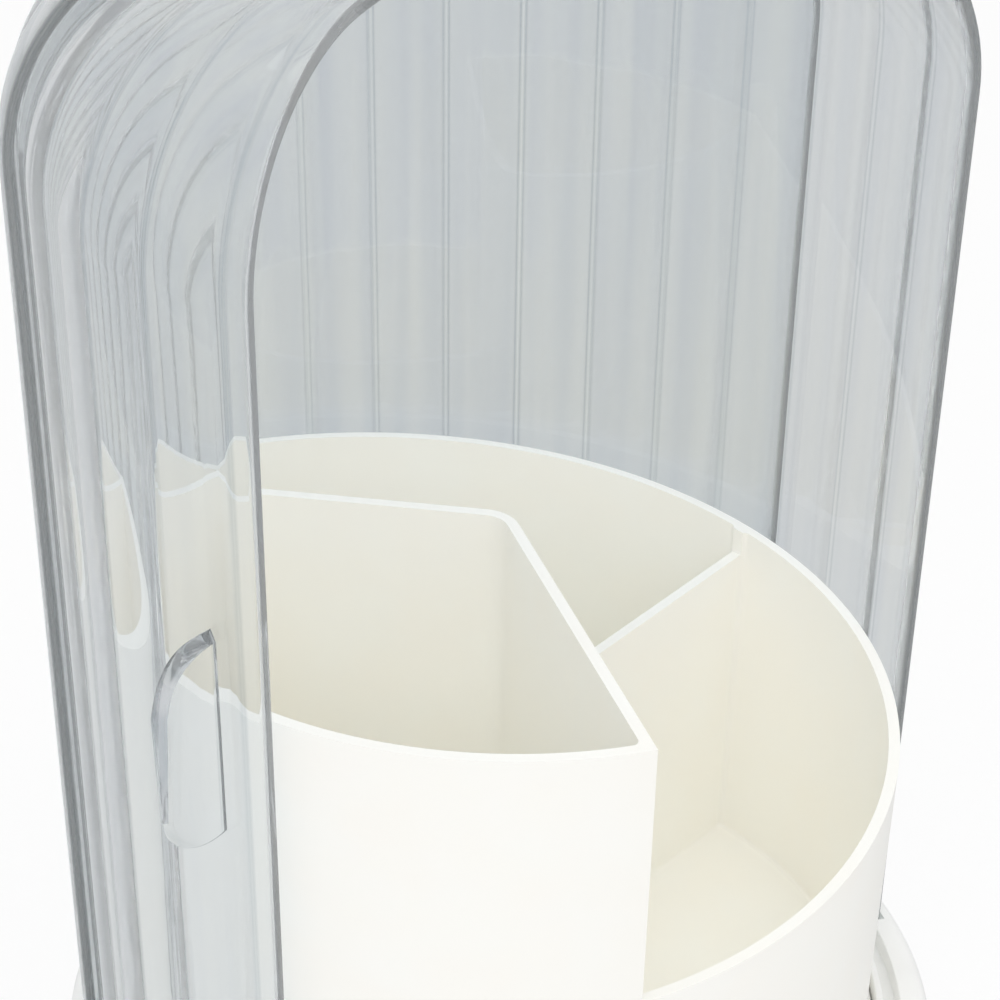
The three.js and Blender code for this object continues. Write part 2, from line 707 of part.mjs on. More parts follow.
// The pull is skinned in one piece over cross-sections from its flat upper end to its sole, each
// from the ridge's outer edge over the ridge's inner edge to the pad's right side
function makePull() {
  const { archSteps, sideSteps, heelSteps, across } = pull;
  const heelPoints = (from, bend) => bent(from, bend, pull.sole, heelSteps + 1).slice(1, -1);
  const outer = [...bent(pull.topLeft, pull.shoulderBend, pull.shoulder, archSteps),
    ...straight(pull.shoulder, pull.heel, sideSteps), ...heelPoints(pull.heel, pull.heelBend)];
  const soleMiddle = pull.sole.map((value, i) => lerp(value, pull.soleBend[i], half));
  const inner = [...bent(pull.innerTop, pull.innerBend, pull.innerShoulder, archSteps),
    ...straight(pull.innerShoulder, pull.innerHeel, sideSteps), ...heelPoints(pull.innerHeel, pull.sole)];
  const right = [pull.topRight, ...straight(pull.topRight, pull.footRight, archSteps),
    ...bent(pull.footRight, pull.soleBend, soleMiddle, sideSteps + heelSteps).slice(1)];
  const foot = doorRadius - shellWall * half;
  const crestAt = (i) => (i < archSteps + sideSteps
    ? lerp(pull.crest, pull.heelCrest, Math.max(0, i - archSteps) / sideSteps)
    : lerp(pull.heelCrest, pull.pad, (i - archSteps - sideSteps) / heelSteps));
  const at = ([angle, z], radius) => [...polar(radius, angle), z];
  const rings = outer.map((point, i) => {
    const pad = [];
    for (let j = 0; j <= across; j += 1) {
      const spot = right[i].map((value, k) => lerp(value, inner[i][k], j / across));
      pad.push(at(spot, doorRadius + pull.pad));
    }
    return [at(point, foot), at(right[i], foot), ...pad, at(point, doorRadius + crestAt(i))];
  });
  // The ends are filled in along plain sections, with the same points in the same order
  const section = (crest) => {
    const pad = [];
    for (let j = 0; j <= across; j += 1) {
      pad.push([lerp(shellWall, crestAt(0), j / across), pull.pad]);
    }
    return [[0, -shellWall], [shellWall, -shellWall], ...pad, [0, crest]];
  };
  return toSolid(skin(rings, [section(pull.crest), section(crestAt(outer.length - 1))]));
}

function makeDoor() {
  const foot = grooveFloor + 2 * runGap;
  let solid = makeShell(0, foot, doorLead - doorSpan, doorSpan, doorFlutes);
  const hub = [[pivotBore, doorHubUnder], [coverHub, doorHubUnder], [coverHub, crownTop],
    [pivotBore, crownTop]];
  const bore = bar(pivotBushRadius + seatGap, doorHubUnder - cutOver, crownTop + cutOver, 0, 0);
  const sink = bar(pivotWasher.outer + seatGap, washerSeat - seatGap, crownTop + cutOver, 0, 0, mediumSides);
  solid = solid.add(turnedSolid(hub, mediumSides)).subtract(toSolid(bore)).subtract(toSolid(sink));
  solid = solid.add(makePull());
  return toGeometry(solid);
}

place('rear_cover', makeRearCover(), 'clear');
place('door_cover', makeDoor(), 'clear');

const bushLow = lowWasherTop + seatGap * half;
const bushHigh = rearHubUnder - seatGap * half;
place('pivot_bush', ring(pivotBore, pivotBushRadius, bushLow, bushHigh), 'natural');
place('pivot_washer_upper',
  ring(pivotBushRadius + seatGap, pivotWasher.outer, washerSeat, washerSeat + pivotWasher.thick), 'natural');
place('pivot_washer_lower', ring(pivotBore, pivotWasher.outer, lowWasherUnder, lowWasherTop), 'steel');

const boltSeat = rearHubTop + seatGap * half;
const boltLength = boltSeat - nutUnder + nut.below;
place('pivot_bolt', panScrew(boltLength, boltSeat, true, pivot), 'steel');

function makeNut() {
  const outline = [[0, nutUnder], [nut.width, nutUnder], [nut.width, nutTop], [0, nutTop]];
  const bore = bar(pivotBore, nutUnder - cutOver, nutTop + cutOver, 0, 0);
  return toGeometry(turnedSolid(outline, nut.sides).subtract(toSolid(bore)));
}

place('pivot_nut', makeNut(), 'steel');

// Cap over the bolt's head: a shallow dome, hollow below
const cap = { radius: 9.5, wall: 1.2, side: 2.2, crown: 2 };

function makeCap() {
  const under = rearHubTop + seatGap;
  const outside = [];
  const inside = [];
  const steps = 4;
  for (let i = 0; i <= steps; i += 1) {
    const turn = radians(lerp(0, quarterTurn, i / steps));
    outside.push([cap.radius * Math.cos(turn), under + cap.side + cap.crown * Math.sin(turn)]);
    inside.push([(cap.radius - cap.wall) * Math.cos(turn),
      under + cap.side - cap.wall + cap.crown * Math.sin(turn)]);
  }
  const outline = [[cap.radius, under], ...outside, ...inside.reverse(), [cap.radius - cap.wall, under]];
  return turned(outline, 2 * smallSides);
}

place('top_cap', makeCap(), 'clear');

export default organizer;
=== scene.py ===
# Makeup brush organizer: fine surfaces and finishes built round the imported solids.
# Sizes are in millimetres and angles in degrees; meshes and the scene are in metres.
import math

import bmesh
import bpy
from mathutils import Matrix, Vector


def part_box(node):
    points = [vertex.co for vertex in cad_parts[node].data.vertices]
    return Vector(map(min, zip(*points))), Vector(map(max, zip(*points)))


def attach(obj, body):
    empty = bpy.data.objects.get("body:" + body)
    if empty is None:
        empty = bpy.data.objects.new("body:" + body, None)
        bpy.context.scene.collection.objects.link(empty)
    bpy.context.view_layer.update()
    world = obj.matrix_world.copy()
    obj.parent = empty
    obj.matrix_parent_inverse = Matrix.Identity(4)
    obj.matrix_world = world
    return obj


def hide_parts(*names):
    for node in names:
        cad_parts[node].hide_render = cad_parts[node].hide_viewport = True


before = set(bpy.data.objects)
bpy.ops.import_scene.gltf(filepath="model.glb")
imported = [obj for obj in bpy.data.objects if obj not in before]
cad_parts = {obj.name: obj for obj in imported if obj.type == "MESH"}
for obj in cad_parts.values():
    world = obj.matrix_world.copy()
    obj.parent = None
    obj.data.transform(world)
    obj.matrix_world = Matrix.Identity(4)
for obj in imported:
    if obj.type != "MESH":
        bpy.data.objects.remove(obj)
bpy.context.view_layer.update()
mm = 0.001
weld = 1e-6   # points nearer than this, in metres, are one
past = 1.0    # how far a cutting tool reaches past what it cuts
quarterTurn, halfTurn, fullTurn = 90.0, 180.0, 360.0

# What the pieces share. The covers, the cup and the base all stand on the Z axis.
shared = {
    "ringTop": 22.0,        # top of the base ring
    "cupFoot": 19.5,        # underside of the cup
    "cupTop": 129.0,        # rim of the tall compartment
    "doorRadius": 78.3,     # crest of the door's flutes
    "rearOut": 3.1,         # the fixed cover's crest, out from the door's
    "wall": 2.4,            # clear plastic at a crest
    "grooveFloor": 18.0,    # where the covers stand in the base ring
    "hubRadius": 11.0,      # round middle of each cover, at the pivot
    "boreRadius": 2.25,     # holes for the pivot bolt and the spindle screw
}


def polar(radius, angle):
    return radius * math.cos(math.radians(angle)), radius * math.sin(math.radians(angle))


def mix(a, b, t):
    return a + (b - a) * t


def arcPoints(x, y, radius, start, end, steps):
    points = []
    for i in range(steps + 1):
        dx, dy = polar(radius, mix(start, end, i / steps))
        points.append((x + dx, y + dy))
    return points


def filleted(corners, steps=6):
    # A closed outline of (r, z) corners; a third number rounds that corner
    points = []
    for i, corner in enumerate(corners):
        here = Vector(corner[:2])
        if len(corner) < 3:
            points.append(tuple(here))
            continue
        before = (Vector(corners[i - 1][:2]) - here).normalized()
        after = (Vector(corners[(i + 1) % len(corners)][:2]) - here).normalized()
        halfAngle = before.angle(after) / 2
        center = here + (before + after).normalized() * corner[2] / math.sin(halfAngle)
        start = here + before * corner[2] / math.tan(halfAngle) - center
        end = here + after * corner[2] / math.tan(halfAngle) - center
        a0 = math.degrees(math.atan2(start.y, start.x))
        a1 = math.degrees(math.atan2(end.y, end.x))
        while a1 - a0 > halfTurn:
            a1 -= fullTurn
        while a1 - a0 < -halfTurn:
            a1 += fullTurn
        points += arcPoints(center.x, center.y, corner[2], a0, a1, steps)
    return points


def finishMesh(name, bm, smoothAngle=35):
    # Merges doubles, turns the faces outwards and marks the edges that stay sharp
    bmesh.ops.remove_doubles(bm, verts=bm.verts, dist=weld)
    bmesh.ops.recalc_face_normals(bm, faces=bm.faces)
    limit = math.radians(smoothAngle)
    for face in bm.faces:
        face.smooth = True
    for edge in bm.edges:
        edge.smooth = len(edge.link_faces) == 2 and edge.calc_face_angle(0) < limit
    mesh = bpy.data.meshes.new(name)
    bm.to_mesh(mesh)
    bm.free()
    return mesh


def newPiece(name, mesh):
    piece = bpy.data.objects.new(name, mesh)
    bpy.context.scene.collection.objects.link(piece)
    return piece


def skinned(name, rings, closed=False, smoothAngle=35):
    # A closed body through rings of points in millimetres, with flat ends unless it runs round
    bm = bmesh.new()
    rows = [[bm.verts.new([c * mm for c in p]) for p in ring] for ring in rings]
    count = len(rows[0])
    pairs = list(zip(rows, rows[1:])) + ([(rows[-1], rows[0])] if closed else [])
    for low, high in pairs:
        for j in range(count):
            k = (j + 1) % count
            bm.faces.new((low[j], low[k], high[k], high[j]))
    if not closed:
        bm.faces.new(rows[0])
        bm.faces.new(rows[-1])
    return finishMesh(name, bm, smoothAngle)


def spun(name, outline, sides=160, smoothAngle=35):
    # Turns a closed outline of (r, z) points about the Z axis
    rings = []
    for i in range(sides):
        angle = i * fullTurn / sides
        rings.append([(*polar(r, angle), z) for r, z in outline])
    return skinned(name, rings, closed=True, smoothAngle=smoothAngle)


def settled(piece):
    # The piece's mesh with its modifiers worked in
    graph = bpy.context.evaluated_depsgraph_get()
    mesh = bpy.data.meshes.new_from_object(piece.evaluated_get(graph))
    piece.modifiers.clear()
    piece.data = mesh
    return piece


def joined(piece, tool, operation):
    # Adds or cuts a second solid, which is then gone
    step = piece.modifiers.new("solid", "BOOLEAN")
    step.operation = operation
    step.solver = "EXACT"
    step.object = tool
    settled(piece)
    bpy.data.objects.remove(tool)
    return piece


def sharpened(piece, smoothAngle=35):
    bm = bmesh.new()
    bm.from_mesh(piece.data)
    piece.data = finishMesh(piece.data.name, bm, smoothAngle)


def beveled(piece, width, segments, limit):
    step = piece.modifiers.new("edges", "BEVEL")
    step.width = width * mm
    step.segments = segments
    step.limit_method = "ANGLE"
    step.angle_limit = math.radians(limit)
    step.use_clamp_overlap = True
    settled(piece)


# Materials

def linear(code):
    # An sRGB hex colour as linear red, green, blue and alpha
    values = [int(code[i:i + 2], 16) / 255 for i in (1, 3, 5)]
    return [v / 12.92 if v <= 0.04045 else ((v + 0.055) / 1.055) ** 2.4 for v in values] + [1]


def addNode(tree, kind, settings=None, links=None):
    # One node: settings by socket or by property, links as {socket: (node, output)}, where a number
    # stands for a socket or an output whose name isn't its own
    node = tree.nodes.new(kind)
    for key, value in (settings or {}).items():
        if isinstance(key, int) or key in node.inputs:
            node.inputs[key].default_value = value
        else:
            setattr(node, key, value)
    for key, (other, output) in (links or {}).items():
        tree.links.new(other.outputs[output], node.inputs[key])
    return node


def newMaterial(name, sockets):
    material = bpy.data.materials.new(name)
    material.use_nodes = True
    tree = material.node_tree
    shader = tree.nodes["Principled BSDF"]
    for key, value in sockets.items():
        shader.inputs[key].default_value = value
    return material, tree, shader


patches = {"grains": 20, "ends": (0.3, 0.7)}  # width in grains, and where each colour is reached


def addGrain(tree, shader, size, height, detail=2.0, colors=None):
    # Fine waves of a size and a height in millimetres, and a slight change of colour over patches. The
    # real grain is finer than a render shows, so each is drawn as coarse as it needs to be seen.
    place = addNode(tree, "ShaderNodeTexCoord")
    noise = addNode(tree, "ShaderNodeTexNoise", {"Scale": 1 / (size * mm), "Detail": detail},
                    {"Vector": (place, "Object")})
    bump = addNode(tree, "ShaderNodeBump", {"Strength": 1.0, "Distance": height * mm},
                   {"Height": (noise, "Fac")})
    tree.links.new(bump.outputs["Normal"], shader.inputs["Normal"])
    if colors:
        width = size * patches["grains"] * mm
        wide = addNode(tree, "ShaderNodeTexNoise", {"Scale": 1 / width, "Detail": 1.0},
                       {"Vector": (place, "Object")})
        ramp = addNode(tree, "ShaderNodeValToRGB", {}, {"Fac": (wide, "Fac")})
        for stop, where, color in zip(ramp.color_ramp.elements, patches["ends"], colors):
            stop.position, stop.color = where, linear(color)
        tree.links.new(ramp.outputs["Color"], shader.inputs["Base Color"])


# Colours of the clear plastic: painted shade at the flutes' creases and painted upright streaks of shade and
# light
styrene = {
    "waveSize": 16, "waveHeight": 0.05, "pane": "#f8fafb",
    "paintedCreaseShade": ((0.05, "#f5f6f7"), (0.45, "#d4d9dc"), (0.7, "#eaedee"), (1, "#ffffff")),
    "streakPitch": 5, "streakSquash": 0.03, "paintedStreakShade": ((0.35, "#f7f8f9"), (0.65, "#fffffd")),
}


def clearStyrene():
    # Clear moulded styrene: hard and glossy, with the faint cool tint that its edges gather and the
    # slow waves of a moulded wall. Its colour also holds painted shade along the flutes' creases and
    # painted upright streaks of shade and light
    material, tree, shader = newMaterial("clearStyrene", {
        "Roughness": 0.015, "IOR": 1.57, "Transmission Weight": 0.92})
    addGrain(tree, shader, styrene["waveSize"], styrene["waveHeight"], detail=1.0)
    # Painted shade and highlight: each crease between two flutes gets two thin darker lines, pale in between
    crease = addNode(tree, "ShaderNodeAttribute", {"attribute_name": "crease"})
    tint = addNode(tree, "ShaderNodeValToRGB", {}, {"Fac": (crease, "Fac")})
    stops = tint.color_ramp.elements
    for _ in styrene["paintedCreaseShade"][2:]:
        stops.new(0.5)
    for stop, (where, color) in zip(stops, styrene["paintedCreaseShade"]):
        stop.position, stop.color = where, linear(color)
    # Painted shade and light: faint upright streaks, cool where darker and warm where paler
    place = addNode(tree, "ShaderNodeTexCoord")
    upright = addNode(tree, "ShaderNodeMapping", {"Scale": (1, 1, styrene["streakSquash"])},
                      {"Vector": (place, "Object")})
    paintedStreakNoise = addNode(tree, "ShaderNodeTexNoise", {"Scale": 1 / (styrene["streakPitch"] * mm), "Detail": 2.0},
                   {"Vector": (upright, "Vector")})
    paintedStreaks = addNode(tree, "ShaderNodeValToRGB", {}, {"Fac": (paintedStreakNoise, "Fac")})
    for stop, (where, color) in zip(paintedStreaks.color_ramp.elements, styrene["paintedStreakShade"]):
        stop.position, stop.color = where, linear(color)
    both = addNode(tree, "ShaderNodeVectorMath", {"operation": "MULTIPLY"},
                   {0: (tint, "Color"), 1: (paintedStreaks, "Color")})
    tree.links.new(both.outputs["Vector"], shader.inputs["Base Color"])
    # Shadow and diffuse rays go straight through, so that light reaches the cup
    rays = addNode(tree, "ShaderNodeLightPath")
    soft = addNode(tree, "ShaderNodeMath", {"operation": "MAXIMUM"},
                   {0: (rays, "Is Shadow Ray"), 1: (rays, "Is Diffuse Ray")})
    pane = addNode(tree, "ShaderNodeBsdfTransparent", {"Color": linear(styrene["pane"])})
    last = addNode(tree, "ShaderNodeMixShader", {}, {"Fac": (soft, "Value"), 1: (shader, 0), 2: (pane, 0)})
    tree.links.new(last.outputs[0], tree.nodes["Material Output"].inputs["Surface"])
    return material


def ivoryPolypropylene():
    # Cup: moulded polypropylene, warm white, a soft sheen over a very fine grain
    material, tree, shader = newMaterial("ivoryPolypropylene", {"Roughness": 0.38, "IOR": 1.49})
    addGrain(tree, shader, size=0.6, height=0.006, detail=2.0, colors=("#fcfaf4", "#fcfbf6"))
    return material


def whiteAbs():
    # Base and turntable: moulded ABS, neutral white, a little glossier than the cup
    material, tree, shader = newMaterial("whiteAbs", {"Roughness": 0.3, "IOR": 1.53})
    addGrain(tree, shader, size=0.5, height=0.005, detail=2.0, colors=("#f4f4f2", "#f7f7f5"))
    return material


def naturalAcetal():
    # Washers, bushes and the ball cage: natural acetal, waxy and slightly translucent
    material, tree, shader = newMaterial("naturalAcetal", {
        "Roughness": 0.42, "IOR": 1.48, "Subsurface Weight": 0.2, "Subsurface Scale": 0.002})
    addGrain(tree, shader, size=0.4, height=0.004, detail=2.0, colors=("#e9e6dc", "#eeebe2"))
    return material


def greyRubber():
    # Feet: soft grey rubber, dull, with the tooth of a matt mould
    material, tree, shader = newMaterial("greyRubber", {"Roughness": 0.8, "IOR": 1.52})
    addGrain(tree, shader, size=0.25, height=0.03, detail=3.0, colors=("#bdbebc", "#c8c9c7"))
    return material


def zincPlatedSteel():
    # Screws, nut and washers: zinc plate, bright with a slight blue cast and a fine uneven bite
    material, tree, shader = newMaterial("zincPlatedSteel", {"Roughness": 0.3, "Metallic": 1.0})
    addGrain(tree, shader, size=0.3, height=0.004, detail=3.0, colors=("#b9bdc2", "#c9ccd0"))
    return material


def galvanizedSteel():
    # Races: pressed galvanized sheet, duller than the screws, with its soft spangle
    material, tree, shader = newMaterial("galvanizedSteel", {"Roughness": 0.42, "Metallic": 1.0})
    addGrain(tree, shader, size=0.8, height=0.004, detail=3.0, colors=("#a6aaad", "#bcc0c3"))
    return material


clear, ivory, white = clearStyrene(), ivoryPolypropylene(), whiteAbs()
acetal, rubber, zinc, galvanized = naturalAcetal(), greyRubber(), zincPlatedSteel(), galvanizedSteel()
print("materials made")


def keep(piece, material, body, slot, *nodes):
    # Gives a finished piece its material, its body and the solids that it stands for
    piece.data.materials.clear()
    piece.data.materials.append(material)
    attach(piece, body)
    if nodes:
        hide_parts(*nodes)


# Covers: one profile for both, at different distances from the door's outer face

cover = {
    "shoulderRadius": 36.0, "shoulderBase": 199.5, "crownSlope": 6.0, "shellEnd": 6.0,
    "shoulderSteps": 24, "crownSteps": 8, "wallSteps": 2, "columns": 14,
    "depth": 0.9, "valley": 0.1,                     # the flutes', and their valleys' share of the width
    "shoulderShare": 0.4, "crownShare": 0.15,        # what is left of the depth at these heights
    "outerEdge": 0.95, "innerEdge": 0.5, "edgeSteps": 5, "edgeShare": 0.9,
    "rearFlutes": 17, "rearSpan": 180.0, "rearRoom": 0.25,
    "doorFlutes": 18, "doorSpan": 198.2, "doorLead": 228.2, "doorRoom": 0.8,
    "hubStep": 1.0, "hubEdge": 0.4, "bushBore": 3.8, "washerSeat": 7.65, "washerSunk": 1.05,
}
shoulderTurn = quarterTurn - cover["crownSlope"]
shoulderCenter = shared["doorRadius"] - cover["shoulderRadius"]
crownReach = shoulderCenter + polar(cover["shoulderRadius"], shoulderTurn)[0]
crownRadius = crownReach / math.sin(math.radians(cover["crownSlope"]))
crownCenter = (cover["shoulderBase"] + polar(cover["shoulderRadius"], shoulderTurn)[1]
               - crownRadius * math.cos(math.radians(cover["crownSlope"])))
crownTop = crownCenter + crownRadius


def coverProfile(offset, foot):
    # Points of (r, z, outward r, outward z, share of the flutes' depth), from the foot to the hub
    points = []
    for i in range(cover["wallSteps"]):
        z = mix(foot, cover["shoulderBase"], i / cover["wallSteps"])
        points.append((shared["doorRadius"] + offset, z, 1.0, 0.0, 1.0))
    for i in range(cover["shoulderSteps"] + 1):
        nr, nz = polar(1, shoulderTurn * i / cover["shoulderSteps"])
        reach = cover["shoulderRadius"] + offset
        share = mix(1, cover["shoulderShare"], i / cover["shoulderSteps"])
        points.append((shoulderCenter + reach * nr, cover["shoulderBase"] + reach * nz, nr, nz, share))
    reach = crownRadius + offset
    last = math.degrees(math.asin(cover["shellEnd"] / reach))
    for i in range(1, cover["crownSteps"] + 1):
        t = i / cover["crownSteps"]
        nz, nr = polar(1, mix(cover["crownSlope"], last, t))
        share = mix(cover["shoulderShare"], cover["crownShare"], t)
        points.append((reach * nr, crownCenter + reach * nz, nr, nz, share))
    return points


def smoothShell(name, offset, foot, start, span, columns):
    # The shell before its flutes, with the way each point moves to sink them. Its cut edges are
    # rounded, less where the columns run together towards the hub. The last number of a point says
    # whether it is outside, 1, or inside, -1; the inside has no flutes.
    outside = [(*p, 1) for p in coverProfile(offset, foot)]
    inside = [(*p[:4], 0.0, -1) for p in reversed(coverProfile(offset - shared["wall"], foot))]
    loop = outside + inside
    columnTurn = math.radians(span / columns)
    bm = bmesh.new()
    share = bm.verts.layers.float.new("fluteShare")
    outward = bm.verts.layers.float_vector.new("outward")
    turns = [quarterTurn * i / cover["edgeSteps"] for i in range(cover["edgeSteps"], -1, -1)]
    places = [(start, 1, turn) for turn in turns]
    places += [(start + span * i / columns, 0, 0) for i in range(1, columns)]
    places += [(start + span, -1, turn) for turn in reversed(turns)]
    rows = []
    for middle, way, turn in places:
        row = []
        for r, z, nr, nz, part, side in loop:
            rounding = cover["outerEdge"] if side > 0 else cover["innerEdge"]
            edge = min(rounding, r * columnTurn * cover["edgeShare"])
            inset = edge * (1 - polar(1, turn)[0]) * abs(way) * side
            angle = middle + way * math.degrees(edge / r) * (1 - polar(1, turn)[1])
            vert = bm.verts.new([c * mm for c in (*polar(r - nr * inset, angle), z - nz * inset)])
            vert[share] = part
            vert[outward] = (*polar(nr, angle), nz)
            row.append(vert)
        rows.append(row)
    count = len(loop)
    for low, high in zip(rows, rows[1:]):
        for j in range(count):
            k = (j + 1) % count
            bm.faces.new((low[j], low[k], high[k], high[j]))
    bm.faces.new(rows[0])
    bm.faces.new(rows[-1])
    bmesh.ops.recalc_face_normals(bm, faces=bm.faces)
    mesh = bpy.data.meshes.new(name)
    bm.to_mesh(mesh)
    bm.free()
    return mesh


def newTree(name, sockets):
    # A Geometry Nodes tree with a geometry in and out and the inputs that a user may change
    tree = bpy.data.node_groups.new(name, "GeometryNodeTree")
    tree.interface.new_socket("Geometry", in_out="INPUT", socket_type="NodeSocketGeometry")
    for label, kind in sockets.items():
        tree.interface.new_socket(label, in_out="INPUT", socket_type=kind)
    tree.interface.new_socket("Geometry", in_out="OUTPUT", socket_type="NodeSocketGeometry")
    return tree, tree.nodes.new("NodeGroupInput")


def finishTree(tree, shape, given):
    # Every tree ends with real geometry and its material
    real = addNode(tree, "GeometryNodeRealizeInstances", {}, {"Geometry": (shape, 0)})
    dress = addNode(tree, "GeometryNodeSetMaterial", {},
                    {"Geometry": (real, "Geometry"), "Material": (given, "Material")})
    addNode(tree, "NodeGroupOutput", {}, {"Geometry": (dress, "Geometry")})
    return tree


def fluteTree():
    # Sinks the sides of every flute: shallow lobes with a narrow rounded valley between them
    tree, given = newTree("flutes", {"Depth": "NodeSocketFloat", "Pitch": "NodeSocketFloat",
                                     "Start": "NodeSocketFloat", "Valley": "NodeSocketFloat",
                                     "Material": "NodeSocketMaterial"})
    calc = "ShaderNodeMath"
    position = addNode(tree, "GeometryNodeInputPosition")
    parts = addNode(tree, "ShaderNodeSeparateXYZ", {}, {"Vector": (position, "Position")})
    share = addNode(tree, "GeometryNodeInputNamedAttribute", {"data_type": "FLOAT", "Name": "fluteShare"})
    outward = addNode(tree, "GeometryNodeInputNamedAttribute",
                      {"data_type": "FLOAT_VECTOR", "Name": "outward"})
    # How far the point lies from the crest in the middle of its flute: 0 there, 1 at the sides
    angle = addNode(tree, calc, {"operation": "ARCTAN2"}, {0: (parts, "Y"), 1: (parts, "X")})
    turned = addNode(tree, calc, {"operation": "SUBTRACT"}, {0: (angle, 0), 1: (given, "Start")})
    within = addNode(tree, calc, {"operation": "FLOORED_MODULO"}, {0: (turned, 0), 1: (given, "Pitch")})
    across = addNode(tree, calc, {"operation": "DIVIDE"}, {0: (within, 0), 1: (given, "Pitch")})
    twice = addNode(tree, calc, {"operation": "MULTIPLY", 1: 2.0}, {0: (across, 0)})
    centered = addNode(tree, calc, {"operation": "SUBTRACT", 1: 1.0}, {0: (twice, 0)})
    fromCrest = addNode(tree, calc, {"operation": "ABSOLUTE"}, {0: (centered, 0)})
    # The lobe falls with the square of that, less as it runs into the valley
    lobeEnd = addNode(tree, calc, {"operation": "SUBTRACT", 0: 1.0}, {1: (given, "Valley")})
    beyond = addNode(tree, calc, {"operation": "SUBTRACT"}, {0: (fromCrest, 0), 1: (lobeEnd, 0)})
    intoValley = addNode(tree, calc, {"operation": "MAXIMUM", 1: 0.0}, {0: (beyond, 0)})
    squared = addNode(tree, calc, {"operation": "POWER", 1: 2.0}, {0: (intoValley, 0)})
    rounding = addNode(tree, calc, {"operation": "DIVIDE"}, {0: (squared, 0), 1: (given, "Valley")})
    bow = addNode(tree, calc, {"operation": "POWER", 1: 2.0}, {0: (fromCrest, 0)})
    lobe = addNode(tree, calc, {"operation": "SUBTRACT"}, {0: (bow, 0), 1: (rounding, 0)})
    deep = addNode(tree, calc, {"operation": "MULTIPLY"}, {0: (lobe, 0), 1: (given, "Depth")})
    sunk = addNode(tree, calc, {"operation": "MULTIPLY"}, {0: (deep, 0), 1: (share, "Attribute")})
    inward = addNode(tree, calc, {"operation": "MULTIPLY", 1: -1.0}, {0: (sunk, 0)})
    move = addNode(tree, "ShaderNodeVectorMath", {"operation": "SCALE"},
                   {"Vector": (outward, "Attribute"), "Scale": (inward, 0)})
    sink = addNode(tree, "GeometryNodeSetPosition", {},
                   {"Geometry": (given, "Geometry"), "Offset": (move, "Vector")})
    # The clear plastic reads how near a point is to a valley's floor, where its colour paints shade
    inValley = addNode(tree, calc, {"operation": "DIVIDE"}, {0: (intoValley, 0), 1: (given, "Valley")})
    faded = addNode(tree, calc, {"operation": "MULTIPLY"}, {0: (inValley, 0), 1: (share, "Attribute")})
    crease = addNode(tree, "GeometryNodeStoreNamedAttribute",
                     {"data_type": "FLOAT", "domain": "POINT", "Name": "crease"},
                     {"Geometry": (sink, "Geometry"), "Value": (faded, 0)})
    return finishTree(tree, crease, given)


def ringTree():
    # Copies of a shape that stands on the Z axis, evenly round a circle
    tree, given = newTree("ringOfCopies", {"Count": "NodeSocketInt", "Radius": "NodeSocketFloat",
                                           "First": "NodeSocketFloat", "Turn": "NodeSocketFloat",
                                           "Material": "NodeSocketMaterial"})
    calc = "ShaderNodeMath"
    index = addNode(tree, "GeometryNodeInputIndex")
    share = addNode(tree, calc, {"operation": "DIVIDE"}, {0: (index, 0), 1: (given, "Count")})
    along = addNode(tree, calc, {"operation": "MULTIPLY", 1: 2 * math.pi}, {0: (share, 0)})
    angle = addNode(tree, calc, {"operation": "ADD"}, {0: (along, 0), 1: (given, "First")})
    cosine = addNode(tree, calc, {"operation": "COSINE"}, {0: (angle, 0)})
    sine = addNode(tree, calc, {"operation": "SINE"}, {0: (angle, 0)})
    x = addNode(tree, calc, {"operation": "MULTIPLY"}, {0: (cosine, 0), 1: (given, "Radius")})
    y = addNode(tree, calc, {"operation": "MULTIPLY"}, {0: (sine, 0), 1: (given, "Radius")})
    place = addNode(tree, "ShaderNodeCombineXYZ", {}, {"X": (x, 0), "Y": (y, 0)})
    points = addNode(tree, "GeometryNodePoints", {},
                     {"Count": (given, "Count"), "Position": (place, "Vector")})
    turn = addNode(tree, calc, {"operation": "MULTIPLY"}, {0: (index, 0), 1: (given, "Turn")})
    spin = addNode(tree, "ShaderNodeCombineXYZ", {}, {"Z": (turn, 0)})
    copies = addNode(tree, "GeometryNodeInstanceOnPoints", {},
                     {"Points": (points, 0), "Instance": (given, "Geometry"),
                      "Rotation": (spin, "Vector")})
    return finishTree(tree, copies, given)


def setInputs(step, values):
    for item in step.node_group.interface.items_tree:
        if item.item_type == "SOCKET" and item.in_out == "INPUT" and item.name in values:
            step[item.identifier] = values[item.name]


flutes, ringOfCopies = fluteTree(), ringTree()


def flutedShell(name, offset, foot, start, span, count):
    piece = newPiece(name, smoothShell(name, offset, foot, start, span, count * cover["columns"]))
    step = piece.modifiers.new("flutes", "NODES")
    step.node_group = flutes
    slack = 1e-5  # radians, so that the first edge isn't taken for the end of the flute before it
    setInputs(step, {"Depth": cover["depth"] * mm, "Pitch": math.radians(span / count),
                     "Start": math.radians(start) - slack, "Valley": cover["valley"], "Material": clear})
    return settled(piece)


def hubPiece(name, low, high, bore):
    radius, edge = shared["hubRadius"], cover["hubEdge"]
    outline = filleted([(bore, low), (radius, low, edge), (radius, high, edge), (bore, high)],
                       steps=3)
    return newPiece(name, spun(name, outline, sides=96))


def bar(name, radius, low, high, sides=64):
    rings = [[(*polar(radius, i * fullTurn / sides), z) for i in range(sides)] for z in (low, high)]
    return newPiece(name, skinned(name, rings))


def ringOf(piece, material, count, radius, first=0.0, turn=0.0):
    # Repeats a piece round the axis and makes the result its mesh
    step = piece.modifiers.new("ring", "NODES")
    step.node_group = ringOfCopies
    setInputs(step, {"Count": count, "Radius": radius * mm, "First": math.radians(first),
                     "Turn": math.radians(turn), "Material": material})
    return settled(piece)


